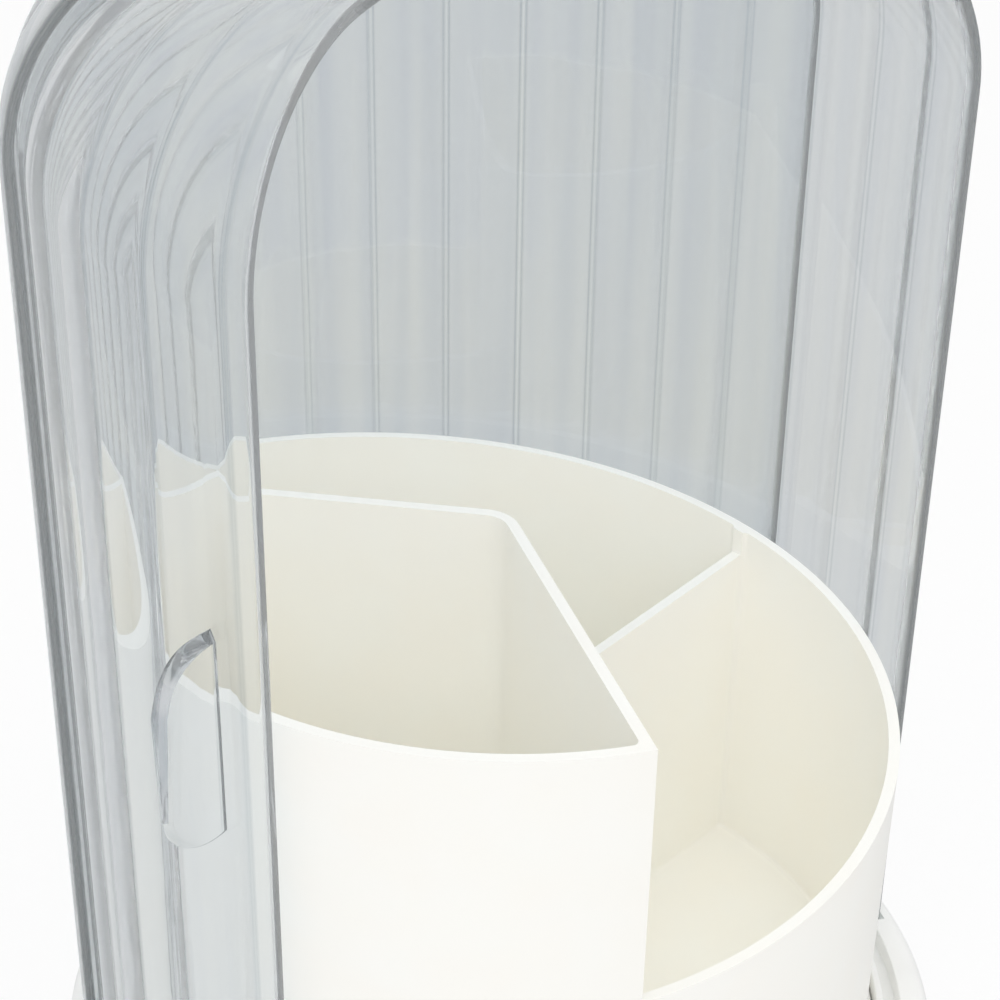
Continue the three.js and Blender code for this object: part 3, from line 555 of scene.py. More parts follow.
def slab(name, outline, width, angle):
    # A flat plate of (r, z) points, standing on edge at an angle round the axis
    sideX, sideY = polar(width / 2, angle + quarterTurn)
    rings = []
    for way in (-1, 1):
        ring = []
        for r, z in outline:
            x, y = polar(r, angle)
            ring.append((x + way * sideX, y + way * sideY, z))
        rings.append(ring)
    return newPiece(name, skinned(name, rings))


rearHubLow = crownTop + shared["rearOut"] - shared["wall"]
rearHubHigh = rearHubLow + shared["wall"] + cover["hubStep"]
doorHubLow = crownTop - shared["wall"] - cover["hubStep"]


# Three snap tabs that hold the fixed cover down, each under the middle of a flute
tabs = {"width": 7.0, "thick": 1.6, "inset": 0.4, "barb": 0.9, "barbHeight": 1.4, "low": 14.15,
        "top": 20.4, "room": 0.4, "flutes": (2, 8, 14)}
tabAngles = [(flute + 0.5) * halfTurn / cover["rearFlutes"] for flute in tabs["flutes"]]


def makeRearCover():
    foot = shared["grooveFloor"] + cover["rearRoom"]
    piece = flutedShell("rearCover", shared["rearOut"], foot, 0, cover["rearSpan"], cover["rearFlutes"])
    joined(piece, hubPiece("rearHub", rearHubLow, rearHubHigh, shared["boreRadius"]), "UNION")
    joined(piece, bar("bore", shared["boreRadius"], rearHubLow - past, rearHubHigh + past), "DIFFERENCE")
    inner = shared["doorRadius"] + shared["rearOut"] - shared["wall"] + tabs["inset"]
    outer, low = inner + tabs["thick"], tabs["low"]
    barbTop = low + tabs["barbHeight"]
    for angle in tabAngles:
        outline = [(inner, tabs["top"]), (inner, low), (outer, low), (outer + tabs["barb"], barbTop),
                   (outer, barbTop), (outer, tabs["top"])]
        joined(piece, slab("tab", outline, tabs["width"], angle), "UNION")
    sharpened(piece, smoothAngle=32)
    keep(piece, clear, "base", "clear_cover", "rear_cover")


# Finger pull: a thin leaf-shaped pad. Along its left side and curved top stands a ridge with its
# crest outside, falling in a round slope to the pad. Corners and the points that the curves bend
# towards are (angle, height).
pull = {
    "footRight": (222.05, 109.5), "topRight": (222.0, 144.6), "topLeft": (221.4, 146.8),
    "shoulderBend": (214.5, 139.8), "shoulder": (212.35, 125.5), "heel": (211.5, 104.0),
    "heelBend": (211.2, 100.0), "sole": (214.2, 100.9), "soleBend": (218.2, 102.8),
    "innerBend": (215.1, 135.55), "innerShoulder": (213.8, 125.5), "innerHeel": (212.6, 104.5),
    "crest": 2.0, "heelCrest": 0.7, "pad": 0.3,         # heights over the door's crest
    "sink": 1.2,                                        # how deep both reach into the door's wall
    "crestSoft": 0.12, "crestFlat": (0.03, 0.06),       # rounding of the crest, and its shares
    "padSoft": 0.2, "padSteps": 3, "padDrawn": 0.35,    # rounding of the pad's edge
    "slopeSteps": 12, "slopeSunk": 0.02, "steps": 16, "heelSteps": 8,
}


def bent(start, towards, end, steps):
    # Points of a curve from one corner to another, bent towards a third
    points = []
    for i in range(steps + 1):
        t = i / steps
        points.append(tuple((1 - t) ** 2 * a + 2 * t * (1 - t) * b + t * t * c
                            for a, b, c in zip(start, towards, end)))
    return points


def makePad():
    steps = pull["steps"]
    flat = [pull["footRight"], pull["topRight"]]
    flat += bent(pull["topLeft"], pull["shoulderBend"], pull["shoulder"], steps)
    flat += bent(pull["heel"], pull["heelBend"], pull["sole"], steps)
    flat += bent(pull["sole"], pull["soleBend"], pull["footRight"], steps)[1:-1]
    left, right = pull["heel"][0], pull["footRight"][0]
    middle = (mix(left, right, 0.5), mix(pull["sole"][1], pull["topLeft"][1], 0.5))
    halfWidth = math.radians(right - left) * shared["doorRadius"] / 2
    rings = []
    levels = [(None, 0.0)]
    for i in range(pull["padSteps"] + 1):
        turn = math.radians(quarterTurn * i / pull["padSteps"])
        levels.append((pull["padSoft"] * (1 - math.sin(turn)), pull["padSoft"] * (1 - math.cos(turn))))
    for down, inward in levels:
        share = inward / halfWidth
        reach = -pull["sink"] if down is None else pull["pad"] - down
        rings.append([(*polar(shared["doorRadius"] + reach, mix(angle, middle[0], share)),
                       mix(z, middle[1], share * pull["padDrawn"])) for angle, z in flat])
    return newPiece("pad", skinned("pad", rings))


def makeRidge():
    # Its round slope runs from the heel to the flat end at the upper right
    steps, low = pull["steps"] * 2, pull["heelSteps"]

    def line(heel, bend, top, shoulder):
        # From the heel straight to the shoulder, and bent from there to the top
        points = [tuple(mix(a, b, i / low) for a, b in zip(heel, shoulder)) for i in range(low)]
        return points + bent(top, bend, shoulder, steps)[::-1]

    outer = line(pull["heel"], pull["shoulderBend"], pull["topLeft"], pull["shoulder"])
    inner = line(pull["innerHeel"], pull["innerBend"], pull["topRight"], pull["innerShoulder"])
    flat, slope = pull["crestFlat"]
    rings = []
    for i, (left, right) in enumerate(zip(outer, inner)):
        crest = mix(pull["heelCrest"], pull["crest"], min(1, i / low))
        section = [(0.0, -pull["sink"]), (0.0, crest - pull["crestSoft"]), (flat, crest)]
        for j in range(1, pull["slopeSteps"] + 1):
            rise, across = polar(1, quarterTurn * j / pull["slopeSteps"])
            level = pull["pad"] - pull["slopeSunk"] + (crest - pull["pad"]) * rise
            section.append((mix(slope, 1, across), level))
        section.append((1.0, -pull["sink"]))
        ring = []
        for across, out in section:
            angle, z = (mix(a, b, across) for a, b in zip(left, right))
            ring.append((*polar(shared["doorRadius"] + out, angle), z))
        rings.append(ring)
    return newPiece("ridge", skinned("ridge", rings))


def makeDoor():
    foot = shared["grooveFloor"] + cover["doorRoom"]
    start = cover["doorLead"] - cover["doorSpan"]
    piece = flutedShell("doorCover", 0, foot, start, cover["doorSpan"], cover["doorFlutes"])
    joined(piece, hubPiece("doorHub", doorHubLow, crownTop, shared["boreRadius"]), "UNION")
    joined(piece, bar("bore", cover["bushBore"], doorHubLow - past, crownTop + past), "DIFFERENCE")
    joined(piece, bar("seat", cover["washerSeat"], crownTop - cover["washerSunk"], crownTop + past),
           "DIFFERENCE")
    joined(piece, makePad(), "UNION")
    joined(piece, makeRidge(), "UNION")
    sharpened(piece, smoothAngle=32)
    keep(piece, clear, "door", "clear_cover", "door_cover")


makeRearCover()
makeDoor()
print("covers made")


# Cup: one moulding with three compartments. Angles run from its first divider.
cup = {
    "radius": 72.5, "wall": 2.0, "floor": 2.4, "draft": 1.1, "aim": -86.8,
    "dividers": (0.0, 120.0, 243.7), "stepDrop": 50.8, "lowMiddle": 43.3, "lowWall": 38.7,
    "corner": 1.2, "apex": 5.0, "floorRound": 0.9, "rim": 0.35,
    "sweepShare": 0.68, "sweepPower": 5,    # how much of the rim's climb is even, and how late the rest
    "sides": 180, "sectorStep": 2.0, "cornerSteps": 5, "apexSteps": 10, "floorSteps": 5, "sweepSteps": 122,
    "pegs": 3, "pegRing": 54.0, "pegRadius": 4.0, "pegTop": 20.45, "pegRoom": 0.25,
}


def rimHeight(angle):
    t = angle / cup["dividers"][-1]
    climb = cup["sweepShare"] * t + (1 - cup["sweepShare"]) * t ** cup["sweepPower"]
    return shared["cupTop"] - cup["stepDrop"] * (1 - climb)


def sector(start, end, inset, radius, corner, apex):
    # Outline of a sector with round corners, its straight sides at an inset from the dividers' middles
    across = inset + corner
    along = math.sqrt((radius - corner) ** 2 - across ** 2)
    turn = math.degrees(math.atan2(across, along))

    def side(angle, way):
        ax, ay = polar(along, angle)
        bx, by = polar(way * across, angle + quarterTurn)
        first, last = angle - way * quarterTurn, angle + way * turn
        return arcPoints(ax + bx, ay + by, corner, first, last, cup["cornerSteps"])

    steps = round((end - start) / cup["sectorStep"])
    outer = arcPoints(0, 0, radius, start + turn, end - turn, steps)[1:-1]
    x, y = polar((inset + apex) / math.sin(math.radians((end - start) / 2)), (start + end) / 2)
    inner = arcPoints(x, y, apex, end + quarterTurn, start + halfTurn + quarterTurn, cup["apexSteps"])
    return side(start, 1) + outer + side(end, -1)[::-1] + inner


def loft(name, levels):
    return newPiece(name, skinned(name, [[(x, y, z) for x, y in outline] for outline, z in levels]))


def compartment(start, end):
    floor = shared["cupFoot"] + cup["floor"]
    inner = cup["radius"] - cup["wall"]

    def level(z, inset, radius):
        return sector(start + cup["aim"], end + cup["aim"], cup["wall"] / 2 + inset, radius - inset,
                      cup["corner"] - inset, cup["apex"]), z

    levels = []
    for i in range(cup["floorSteps"] + 1):
        turn = math.radians(quarterTurn * i / cup["floorSteps"])
        levels.append(level(floor + cup["floorRound"] * (1 - math.cos(turn)),
                            cup["floorRound"] * (1 - math.sin(turn)), inner - cup["draft"]))
    levels.append(level(shared["cupTop"] + past, 0, inner))
    return loft("compartment", levels)


def makeSweep():
    # What is cut away above the climbing rim and above the two low dividers, but not over the tall sector
    last, inner = cup["dividers"][-1], cup["radius"] - cup["wall"]
    high = shared["cupTop"] + past
    rings = []
    edge = inner - cup["draft"]
    for i in range(cup["sweepSteps"] + 1):
        angle = last * i / cup["sweepSteps"]
        a = polar(edge - past, angle + cup["aim"])
        b = polar(cup["radius"] + past, angle + cup["aim"])
        low = rimHeight(angle)
        rings.append([(*a, low), (*b, low), (*b, high), (*a, high)])
    piece = newPiece("sweep", skinned("sweep", rings))
    outline = [(0.0, shared["cupTop"] - cup["lowMiddle"]), (edge, shared["cupTop"] - cup["lowWall"]),
               (edge, high), (0.0, high)]
    bm = bmesh.new()
    step = fullTurn / cup["sides"]
    rows = [[bm.verts.new([c * mm for c in (*polar(r, i * step), z)]) for r, z in outline]
            for i in range(cup["sides"])]
    for low, up in zip(rows, rows[1:] + rows[:1]):
        for j in range(len(outline) - 1):
            bm.faces.new((low[j], low[j + 1], up[j + 1], up[j]))
    bmesh.ops.remove_doubles(bm, verts=bm.verts, dist=weld)
    middle = newPiece("middle", finishMesh("middle", bm))
    joined(piece, middle, "UNION")
    around = sector(last + cup["aim"], fullTurn + cup["aim"], -cup["wall"] / 2,
                    cup["radius"] + 2 * past, past, cup["apex"] + cup["wall"])
    tall = loft("tall", [(around, shared["cupFoot"]), (around, high + 2 * past)])
    return joined(piece, tall, "DIFFERENCE")


def makeCup():
    low, high = shared["cupFoot"], shared["cupTop"]
    step = fullTurn / cup["sides"]
    rings = [[(*polar(radius, i * step), z) for i in range(cup["sides"])]
             for radius, z in ((cup["radius"] - cup["draft"], low), (cup["radius"], high))]
    piece = newPiece("brushCup", skinned("brushCup", rings))
    ends = cup["dividers"][1:] + (fullTurn,)
    for start, end in zip(cup["dividers"], ends):
        joined(piece, compartment(start, end), "DIFFERENCE")
    joined(piece, makeSweep(), "DIFFERENCE")
    pocket = bar("pocket", cup["pegRadius"] + cup["pegRoom"], low - past, cup["pegTop"] + cup["pegRoom"])
    joined(piece, ringOf(pocket, ivory, cup["pegs"], cup["pegRing"], cup["aim"]), "DIFFERENCE")
    beveled(piece, cup["rim"], segments=3, limit=38)
    sharpened(piece, smoothAngle=40)
    keep(piece, ivory, "turntable", "white_cup", "brush_cup")


makeCup()
print("cup made")


# Base: the groove is wider round the rear half, where it also takes the fixed cover
base = {
    "radius": 84.6, "edge": 3.2, "foot": 1.2, "wall": 2.2, "grooveInner": 75.5, "doorSide": 78.7,
    "coverSide": 81.8, "well": 74.1, "wellFloor": 9.75, "boss": 7.0, "bossTop": 15.0, "bossLow": 4.55,
    "footSoft": 0.4, "grooveSoft": 0.3, "lipSoft": 0.35, "wellSoft": 0.5, "bossSoft": 0.2, "sides": 192,
    "plateTop": 3.2, "plateRoom": 0.25, "plateScrews": 4, "plateScrewRing": 60.0, "plateBoss": 4.0,
}


def baseOutline(grooveOuter):
    top, floor = shared["ringTop"], shared["grooveFloor"]
    under = floor - base["wall"]
    wellUnder = base["wellFloor"] - base["wall"]
    skirt = base["radius"] - base["wall"]
    well, rim = base["well"], base["well"] + base["wall"]
    bore, boss = shared["boreRadius"], base["boss"]
    inGroove, lip, inWell, onBoss = base["grooveSoft"], base["lipSoft"], base["wellSoft"], base["bossSoft"]
    return filleted([
        (base["radius"], base["foot"], base["footSoft"]), (base["radius"], top, base["edge"]),
        (grooveOuter, top, inGroove), (grooveOuter, floor, inGroove),
        (base["grooveInner"], floor, inGroove), (base["grooveInner"], top, lip),
        (well, top, lip), (well, base["wellFloor"], inWell), (boss, base["wellFloor"], inWell),
        (boss, base["bossTop"], onBoss), (bore, base["bossTop"]), (bore, base["bossLow"]),
        (boss, base["bossLow"], onBoss), (boss, wellUnder), (rim, wellUnder, inWell), (rim, under),
        (skirt, under), (skirt, base["foot"]),
    ], steps=5)


def makeBase():
    rear, front = baseOutline(base["coverSide"]), baseOutline(base["doorSide"])
    half = base["sides"] // 2
    rings = []
    for outline, start in ((rear, 0), (front, halfTurn)):
        for i in range(half + 1):
            angle = start + halfTurn * i / half
            rings.append([(*polar(r, angle), z) for r, z in outline])
    piece = newPiece("baseShell", skinned("baseShell", rings, closed=True))
    inner = shared["doorRadius"] + shared["rearOut"] - shared["wall"] + tabs["inset"] - tabs["room"]
    outer = inner + tabs["thick"] + 2 * tabs["room"]
    low, high = tabs["low"], shared["grooveFloor"] + past
    for angle in tabAngles:
        outline = [(inner, low), (outer, low), (outer, high), (inner, high)]
        joined(piece, slab("slot", outline, tabs["width"] + 2 * tabs["room"], angle), "DIFFERENCE")
    boss = bar("boss", base["plateBoss"], base["plateTop"] + base["plateRoom"], base["wellFloor"] - past)
    hole = bar("hole", fine["hole"], 0, base["wellFloor"] - base["wall"], sides=32)
    for tool, operation in ((boss, "UNION"), (hole, "DIFFERENCE")):
        joined(piece, ringOf(tool, white, base["plateScrews"], base["plateScrewRing"]), operation)
    sharpened(piece)
    keep(piece, white, "base", "white_base", "base_shell")


def makePlate():
    # Closes the base from below; its screws are sunk and its feet stand in shallow seats
    low, high = base["foot"], base["plateTop"]
    radius = base["radius"] - base["wall"] - base["plateRoom"]
    outline = [(0, low), (radius, low, base["footSoft"]), (radius, high, base["bossSoft"]), (0, high)]
    piece = newPiece("bottomPlate", spun("bottomPlate", filleted(outline, steps=4), base["sides"]))
    screws = base["plateScrews"], base["plateScrewRing"]
    cuts = (("hole", fine["hole"], high + past, *screws, 0),
            ("sink", fine["sink"], low + fine["sinkDeep"], *screws, 0),
            ("seat", fine["footSeat"], low + fine["footSunk"], fine["feet"], fine["footRing"],
             fine["firstFoot"]))
    for name, size, top, count, ring, first in cuts:
        tool = ringOf(bar(name, size, low - past, top), white, count, ring, first)
        joined(piece, tool, "DIFFERENCE")
    sharpened(piece)
    keep(piece, white, "base", "white_base", "bottom_plate")


disc = {"radius": 73.7, "low": 16.45, "high": 19.25, "sink": 8.0, "sinkFloor": 16.85, "bore": 3.8,
        "hub": 10.2, "hubLow": 15.25, "holeDeep": 2.25, "lowSoft": 0.3, "highSoft": 0.6, "sinkSoft": 0.2}


def makeDisc():
    # Flat above but for the sink of the spindle's washer, with a hub below that runs on the bush
    radius, low, high, soft = disc["radius"], disc["low"], disc["high"], disc["lowSoft"]
    sink, bore, hub = disc["sink"], disc["bore"], disc["hub"]
    outline = filleted([
        (radius, low, soft), (radius, high, disc["highSoft"]), (sink, high, disc["sinkSoft"]),
        (sink, disc["sinkFloor"]), (bore, disc["sinkFloor"]), (bore, disc["hubLow"]),
        (hub, disc["hubLow"], soft), (hub, low),
    ], steps=4)
    piece = newPiece("turntableDisc", spun("turntableDisc", outline, base["sides"]))
    pegs = bar("peg", cup["pegRadius"], low + past, cup["pegTop"])
    joined(piece, ringOf(pegs, white, cup["pegs"], cup["pegRing"], cup["aim"]), "UNION")
    holes = bar("hole", stack["screwHole"], low - past, low + disc["holeDeep"], sides=32)
    joined(piece, ringOf(holes, white, stack["screws"], stack["screwRing"]), "DIFFERENCE")
    sharpened(piece)
    keep(piece, white, "turntable", "white_base", "turntable_disc")


# Small hardware under the base and in the bearing
fine = {
    "hole": 1.55, "sink": 2.85, "sinkDeep": 1.35, "feet": 4, "footRing": 68.0, "footRadius": 7.0,
    "footSeat": 7.25, "footSunk": 0.8, "footTop": 1.75, "firstFoot": 45, "footSoft": 0.5, "footTopSoft": 0.15,
    "screwHead": 2.6, "screwHeadHigh": 1.1, "screwShank": 1.3, "screwRoom": 0.25, "screwTurn": 37,
}
stack = {
    "raceInner": 33.0, "raceOuter": 48.0, "raceThick": 1.6, "raceEdge": 0.15,
    "lowFace": 11.6, "highFace": 14.6,      # the faces of the races that look at each other
    "ballRing": 42.0, "ballRadius": 2.0, "ballRoom": 0.35, "balls": 12, "ballHeight": 13.1,
    "cageWidth": 6.8, "cageThick": 1.0, "cageEdge": 0.2, "pocketRoom": 0.25,
    "screws": 3, "screwRing": 36.0, "screwHole": 1.25, "screwHead": 2.2, "screwHeadHigh": 0.8,
    "screwShank": 1.0, "screwLong": 3.85, "screwPitch": 0.4, "screwTurn": 50, "seatDrop": 0.125,
}
# A screw's form: shares of its shank's and head's radius and of the head's height, then millimetres
form = {"tip": 0.6, "root": 0.84, "flat": 0.55, "brim": 0.25, "crossReach": 0.62, "crossMost": 0.6,
        "crossShare": 0.55 / 2.6, "crossDeep": 0.6, "point": 0.4, "neck": 0.2, "steps": 8, "sides": 28}


def screw(name, seat, way, head, headHigh, shank, length, pitch=0.5):
    # A pan head with a cross recess and a threaded shank; way is 1 with the head up, -1 with it down
    turns = max(2, round((length - form["point"] - form["neck"]) / pitch))
    outline = [(0.0, seat - way * length), (shank * form["tip"], seat - way * length)]
    for i in range(turns):
        z = length - form["point"] - i * pitch
        outline += [(shank * form["root"], seat - way * z), (shank, seat - way * (z - pitch / 2))]
    outline += [(shank, seat), (head, seat)]
    for i in range(form["steps"] + 1):
        x, y = polar(1, quarterTurn * i / form["steps"])
        outline.append((head * mix(form["flat"], 1, x), seat + way * headHigh * mix(form["brim"], 1, y)))
    outline.append((0.0, seat + way * headHigh))
    piece = newPiece(name, spun(name, outline, form["sides"], smoothAngle=40))
    reach, top = head * form["crossReach"], seat + way * (headHigh + past / 2)
    floor = seat + way * (headHigh - min(form["crossDeep"], headHigh * form["crossMost"]))
    outline = [(-reach, floor), (reach, floor), (reach, top), (-reach, top)]
    for angle in (0, quarterTurn):
        joined(piece, slab("slot", outline, head * form["crossShare"], angle), "DIFFERENCE")
    return piece


def makeFeet():
    top, radius = fine["footTop"], fine["footRadius"]
    outline = filleted([(0.0, 0.0), (radius, 0.0, fine["footSoft"]), (radius, top, fine["footTopSoft"]),
                        (0.0, top)], steps=5)
    piece = newPiece("rubberFeet", spun("rubberFeet", outline, sides=64))
    ringOf(piece, rubber, fine["feet"], fine["footRing"], fine["firstFoot"])
    keep(piece, rubber, "base", "grey_rubber", "foot_rear_right", "foot_rear_left", "foot_front_left",
         "foot_front_right")


def makePlateScrews():
    seat = base["foot"] + fine["sinkDeep"]
    length = base["wellFloor"] - base["wall"] - base["foot"] - fine["sinkDeep"] - fine["screwRoom"]
    count, head, headHigh = base["plateScrews"], fine["screwHead"], fine["screwHeadHigh"]
    piece = screw("plateScrews", seat, -1, head, headHigh, fine["screwShank"], length)
    ringOf(piece, zinc, count, base["plateScrewRing"], turn=fine["screwTurn"])
    keep(piece, zinc, "base", "plated_steel", *[f"plate_screw_{i + 1}" for i in range(count)])


def makeRace(name, face, way, body, node):
    # A flat pressed ring with the balls' groove in the face that looks at the other race
    reach = stack["ballRadius"] + stack["ballRoom"]
    edge = math.degrees(math.asin(abs(stack["ballHeight"] - face) / reach))
    facing = (halfTurn - edge, edge) if way > 0 else (halfTurn + edge, fullTurn - edge)
    back = face + way * stack["raceThick"]
    outline = [(stack["raceInner"], face)]
    outline += arcPoints(stack["ballRing"], stack["ballHeight"], reach, *facing, steps=10)
    outline += [(stack["raceOuter"], face), (stack["raceOuter"], back), (stack["raceInner"], back)]
    piece = newPiece(name, spun(name, outline, sides=144))
    holes = bar("hole", stack["screwHole"], min(face, back) - past, max(face, back) + past, sides=32)
    joined(piece, ringOf(holes, galvanized, stack["screws"], stack["screwRing"]), "DIFFERENCE")
    beveled(piece, stack["raceEdge"], segments=2, limit=60)
    sharpened(piece)
    keep(piece, galvanized, body, "race_steel", node)


def makeBalls():
    bm = bmesh.new()
    bmesh.ops.create_uvsphere(bm, u_segments=32, v_segments=20, radius=stack["ballRadius"] * mm)
    for vert in bm.verts:
        vert.co.z += stack["ballHeight"] * mm
    piece = newPiece("balls", finishMesh("balls", bm, smoothAngle=60))
    ringOf(piece, zinc, stack["balls"], stack["ballRing"], turn=fullTurn / stack["balls"])
    keep(piece, zinc, "ball_ring", "plated_steel", *[f"ball_{i + 1}" for i in range(stack["balls"])])


def makeCage():
    half, middle = stack["cageThick"] / 2, stack["ballHeight"]
    inner, outer = (stack["ballRing"] + way * stack["cageWidth"] / 2 for way in (-1, 1))
    piece = washer("ballCage", inner, outer, middle - half, middle + half, stack["cageEdge"], sides=144)
    pockets = bar("pocket", stack["ballRadius"] + stack["pocketRoom"], middle - 2 * past, middle + 2 * past)
    joined(piece, ringOf(pockets, acetal, stack["balls"], stack["ballRing"]), "DIFFERENCE")
    sharpened(piece)
    keep(piece, acetal, "ball_ring", "natural_plastic", "ball_cage")


def makeRaceScrews():
    for side, face, way, body in (("lower", stack["lowFace"], 1, "base"),
                                  ("upper", stack["highFace"], -1, "turntable")):
        piece = screw(side + "RaceScrews", face + way * stack["seatDrop"], way, stack["screwHead"],
                      stack["screwHeadHigh"], stack["screwShank"], stack["screwLong"], stack["screwPitch"])
        ringOf(piece, zinc, stack["screws"], stack["screwRing"], turn=stack["screwTurn"])
        nodes = [f"{side}_race_screw_{i + 1}" for i in range(stack["screws"])]
        keep(piece, zinc, body, "plated_steel", *nodes)


def washer(name, inner, outer, low, high, soft=0.15, sides=72):
    corners = [(inner, low, soft), (outer, low, soft), (outer, high, soft), (inner, high, soft)]
    return newPiece(name, spun(name, filleted(corners, steps=3), sides))


makeBase()
makePlate()
makeDisc()
makeFeet()
makePlateScrews()
makeRace("lowerRace", stack["lowFace"], -1, "base", "lower_race")
makeRace("upperRace", stack["highFace"], 1, "turntable", "upper_race")
makeBalls()
makeCage()
makeRaceScrews()
print("base and bearing made")


# Spindle of the turntable and pivot of the door, both on the Z axis
def solidOf(name):
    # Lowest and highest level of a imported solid, in millimetres
    low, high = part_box(name)
    return low[2] / mm, high[2] / mm


axle = {"bush": 3.55, "bushRoom": 0.25, "spindleWasher": 7.6, "pivotWasher": 7.4, "spindleHead": 5.0,
        "spindleHeadHigh": 1.3, "pivotHead": 4.2, "pivotHeadHigh": 1.8, "shank": 2.0, "pitch": 0.7,
        "nutCorner": 3.9, "nutChamfer": 0.35, "nutSpare": 0.1,
        "capRadius": 9.5, "capWall": 1.2, "capSide": 2.2, "capCrown": 2.0, "capSteps": 16, "capSides": 72}


def makeAxles():
    bore, bush, wide = shared["boreRadius"], axle["bush"], axle["pivotWasher"]
    rings = (("spindle_bush", bore, bush, acetal, "natural_plastic"),
             ("spindle_washer", bore, axle["spindleWasher"], zinc, "plated_steel"),
             ("pivot_bush", bore, bush, acetal, "natural_plastic"),
             ("pivot_washer_upper", bush + axle["bushRoom"], wide, acetal, "natural_plastic"),
             ("pivot_washer_lower", bore, wide, zinc, "plated_steel"))
    for node, inner, outer, material, finish in rings:
        first, *rest = node.split("_")
        name = first + "".join(part.capitalize() for part in rest)
        keep(washer(name, inner, outer, *solidOf(node)), material, "base", finish, node)
    bolts = (("spindleScrew", "spindle_screw", axle["spindleHead"], axle["spindleHeadHigh"]),
             ("pivotBolt", "pivot_bolt", axle["pivotHead"], axle["pivotHeadHigh"]))
    for name, node, head, headHigh in bolts:
        low, high = solidOf(node)
        seat = high - headHigh
        piece = screw(name, seat, 1, head, headHigh, axle["shank"], seat - low, axle["pitch"])
        keep(piece, zinc, "base", "plated_steel", node)


def makeNut():
    # A hexagon with its corners chamfered at both faces
    low, high = solidOf("pivot_nut")
    corner, chamfer = axle["nutCorner"], axle["nutChamfer"]
    prism = bar("pivotNut", corner, low, high, sides=6)
    narrow, wide = corner - chamfer, corner + axle["nutSpare"]
    cone = spun("cone", [(0, low), (narrow, low), (wide, low + chamfer), (wide, high - chamfer),
                         (narrow, high), (0, high)], sides=96)
    joined(prism, newPiece("cone", cone), "INTERSECT")
    joined(prism, bar("bore", shared["boreRadius"], low - past, high + past, sides=48), "DIFFERENCE")
    sharpened(prism, smoothAngle=25)
    keep(prism, zinc, "base", "plated_steel", "pivot_nut")


def makeCap():
    # A shallow clear dome, hollow below, over the bolt's head
    under = solidOf("top_cap")[0]
    outer, inner = axle["capRadius"], axle["capRadius"] - axle["capWall"]
    level = under + axle["capSide"]

    def dome(radius, low):
        turns = [polar(1, quarterTurn * i / axle["capSteps"]) for i in range(axle["capSteps"] + 1)]
        return [(radius * x, low + axle["capCrown"] * y) for x, y in turns]

    outline = [(outer, under)] + dome(outer, level)
    outline += dome(inner, level - axle["capWall"])[::-1] + [(inner, under)]
    bm = bmesh.new()
    step = fullTurn / axle["capSides"]
    rows = [[bm.verts.new([c * mm for c in (*polar(r, i * step), z)]) for r, z in outline]
            for i in range(axle["capSides"])]
    for low, up in zip(rows, rows[1:] + rows[:1]):
        for j in range(len(outline)):
            k = (j + 1) % len(outline)
            bm.faces.new((low[j], low[k], up[k], up[j]))
    bmesh.ops.remove_doubles(bm, verts=bm.verts, dist=weld)
    bmesh.ops.dissolve_degenerate(bm, edges=bm.edges, dist=weld / 10)
    keep(newPiece("topCap", finishMesh("topCap", bm, 30)), clear, "base", "clear_cover", "top_cap")


makeAxles()
makeNut()
makeCap()
print("pivot and spindle made")


# Floor, lamps and world. The camera sees both as white paper, the clear wall shows a pale grey room.
studio = {
    "floor": 6.0, "floorColor": "#f2f2f2", "paperGlow": 0.85, "seenThrough": "#d6d8da", "world": 0.83,
    "keyLamp": {"place": (-0.3, -0.9, 0.95), "target": (0, 0, 0.12), "size": (0.9, 0.7), "power": 3.2,
                "color": "#f9fbff"},
    "topLamp": {"place": (0.1, 0.05, 1.15), "target": (0, 0, 0.1), "size": (0.8, 0.8), "power": 1.7,
                "color": "#ffffff"},
}


def makeFloor():
    bm = bmesh.new()
    bmesh.ops.create_grid(bm, x_segments=1, y_segments=1, size=studio["floor"])
    mesh = bpy.data.meshes.new("floor")
    bm.to_mesh(mesh)
    bm.free()
    floor = newPiece("floor", mesh)
    paper = {"Base Color": linear(studio["floorColor"]), "Roughness": 0.9}
    material, tree, shader = newMaterial("floorPaper", paper)
    rays = addNode(tree, "ShaderNodeLightPath")
    seen = addNode(tree, "ShaderNodeEmission", {"Color": (1, 1, 1, 1), "Strength": 1.0})
    through = addNode(tree, "ShaderNodeEmission", {"Color": linear(studio["seenThrough"]), "Strength": 1.0})
    lit = addNode(tree, "ShaderNodeMixShader", {"Fac": studio["paperGlow"]}, {1: (shader, 0), 2: (seen, 0)})
    camera = addNode(tree, "ShaderNodeMixShader", {},
                     {"Fac": (rays, "Is Camera Ray"), 1: (shader, 0), 2: (lit, 0)})
    either = addNode(tree, "ShaderNodeMath", {"operation": "MAXIMUM"},
                     {0: (rays, "Is Transmission Ray"), 1: (rays, "Is Glossy Ray")})
    last = addNode(tree, "ShaderNodeMixShader", {}, {"Fac": (either, 0), 1: (camera, 0), 2: (through, 0)})
    tree.links.new(last.outputs[0], tree.nodes["Material Output"].inputs["Surface"])
    floor.data.materials.append(material)


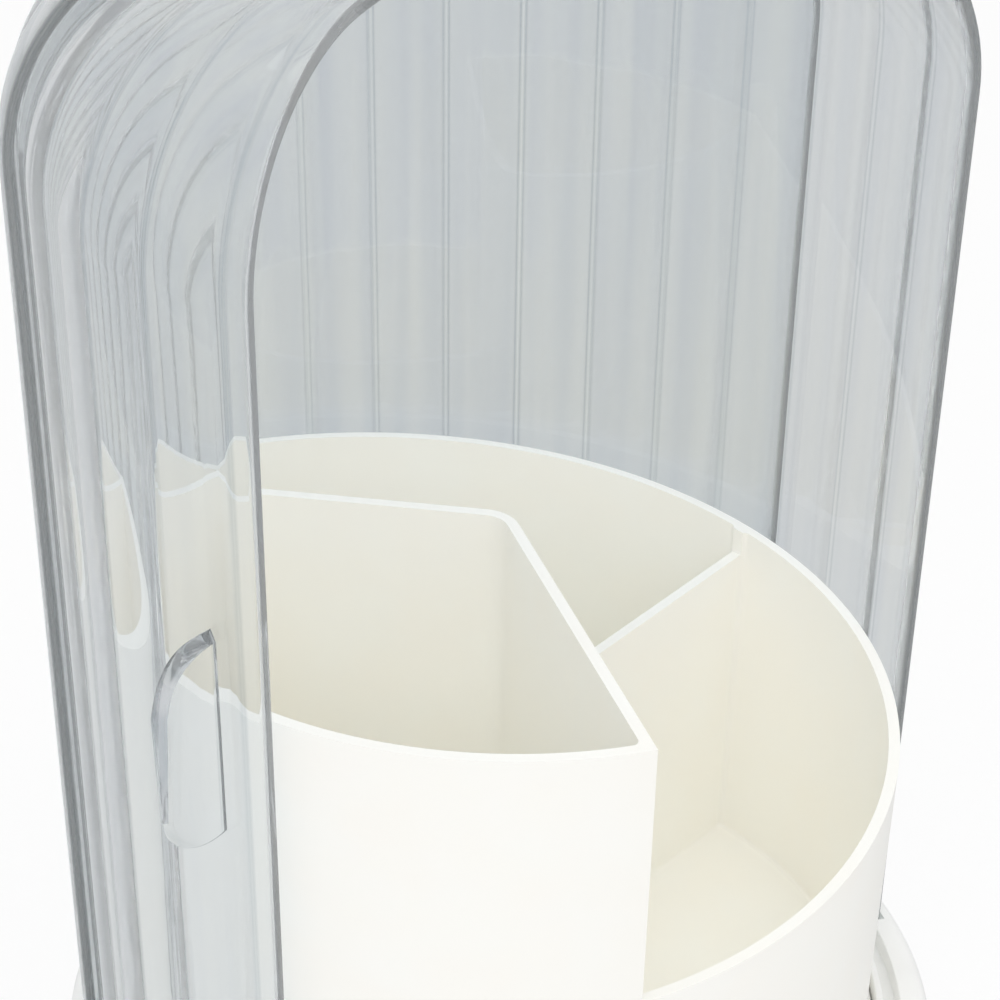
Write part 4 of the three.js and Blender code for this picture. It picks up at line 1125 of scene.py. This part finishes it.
def makeLamp(name):
    given = studio[name]
    lamp = bpy.data.lights.new(name, "AREA")
    lamp.shape = "RECTANGLE"
    lamp.size, lamp.size_y = given["size"]
    lamp.energy = given["power"]
    lamp.color = linear(given["color"])[:3]
    holder = bpy.data.objects.new(name, lamp)
    bpy.context.scene.collection.objects.link(holder)
    holder.location = given["place"]
    aim = Vector(given["target"]) - Vector(given["place"])
    holder.rotation_euler = aim.to_track_quat("-Z", "Y").to_euler()


def makeWorld():
    world = bpy.data.worlds.new("studio")
    bpy.context.scene.world = world
    world.use_nodes = True
    tree = world.node_tree
    background = tree.nodes["Background"]
    background.inputs["Color"].default_value = (1, 1, 1, 1)
    background.inputs["Strength"].default_value = studio["world"]
    rays = addNode(tree, "ShaderNodeLightPath")
    backdrop = addNode(tree, "ShaderNodeBackground", {"Color": (1, 1, 1, 1), "Strength": 1.0})
    through = addNode(tree, "ShaderNodeBackground", {"Color": linear(studio["seenThrough"]), "Strength": 1.0})
    seen = addNode(tree, "ShaderNodeMixShader", {},
                   {"Fac": (rays, "Is Camera Ray"), 1: (background, 0), 2: (backdrop, 0)})
    last = addNode(tree, "ShaderNodeMixShader", {},
                   {"Fac": (rays, "Is Transmission Ray"), 1: (seen, 0), 2: (through, 0)})
    tree.links.new(last.outputs[0], tree.nodes["World Output"].inputs["Surface"])


makeFloor()
makeLamp("keyLamp")
makeLamp("topLamp")
makeWorld()


# Camera: at the photograph's angle, from in front and 30 degrees above
view = {"place": (-90.0, -342.6, 338.2), "tilt": 59.762, "turn": -12.83, "lens": 84.43, "sensor": 36,
        "shift": 0.0599}


def makeCamera():
    camera = bpy.data.cameras.new("camera")
    camera.lens = view["lens"]
    camera.sensor_width = view["sensor"]
    camera.shift_x = view["shift"]
    holder = bpy.data.objects.new("camera", camera)
    bpy.context.scene.collection.objects.link(holder)
    holder.location = [c * mm for c in view["place"]]
    holder.rotation_euler = (math.radians(view["tilt"]), 0, math.radians(view["turn"]))
    bpy.context.scene.camera = holder


makeCamera()
bpy.context.scene.view_settings.view_transform = "Standard"
# Light crosses up to eight clear faces, and a cut edge shows what has run along inside the wall
bpy.context.scene.cycles.max_bounces = 28
bpy.context.scene.cycles.diffuse_bounces = 12
bpy.context.scene.cycles.glossy_bounces = 6
bpy.context.scene.cycles.transmission_bounces = 28
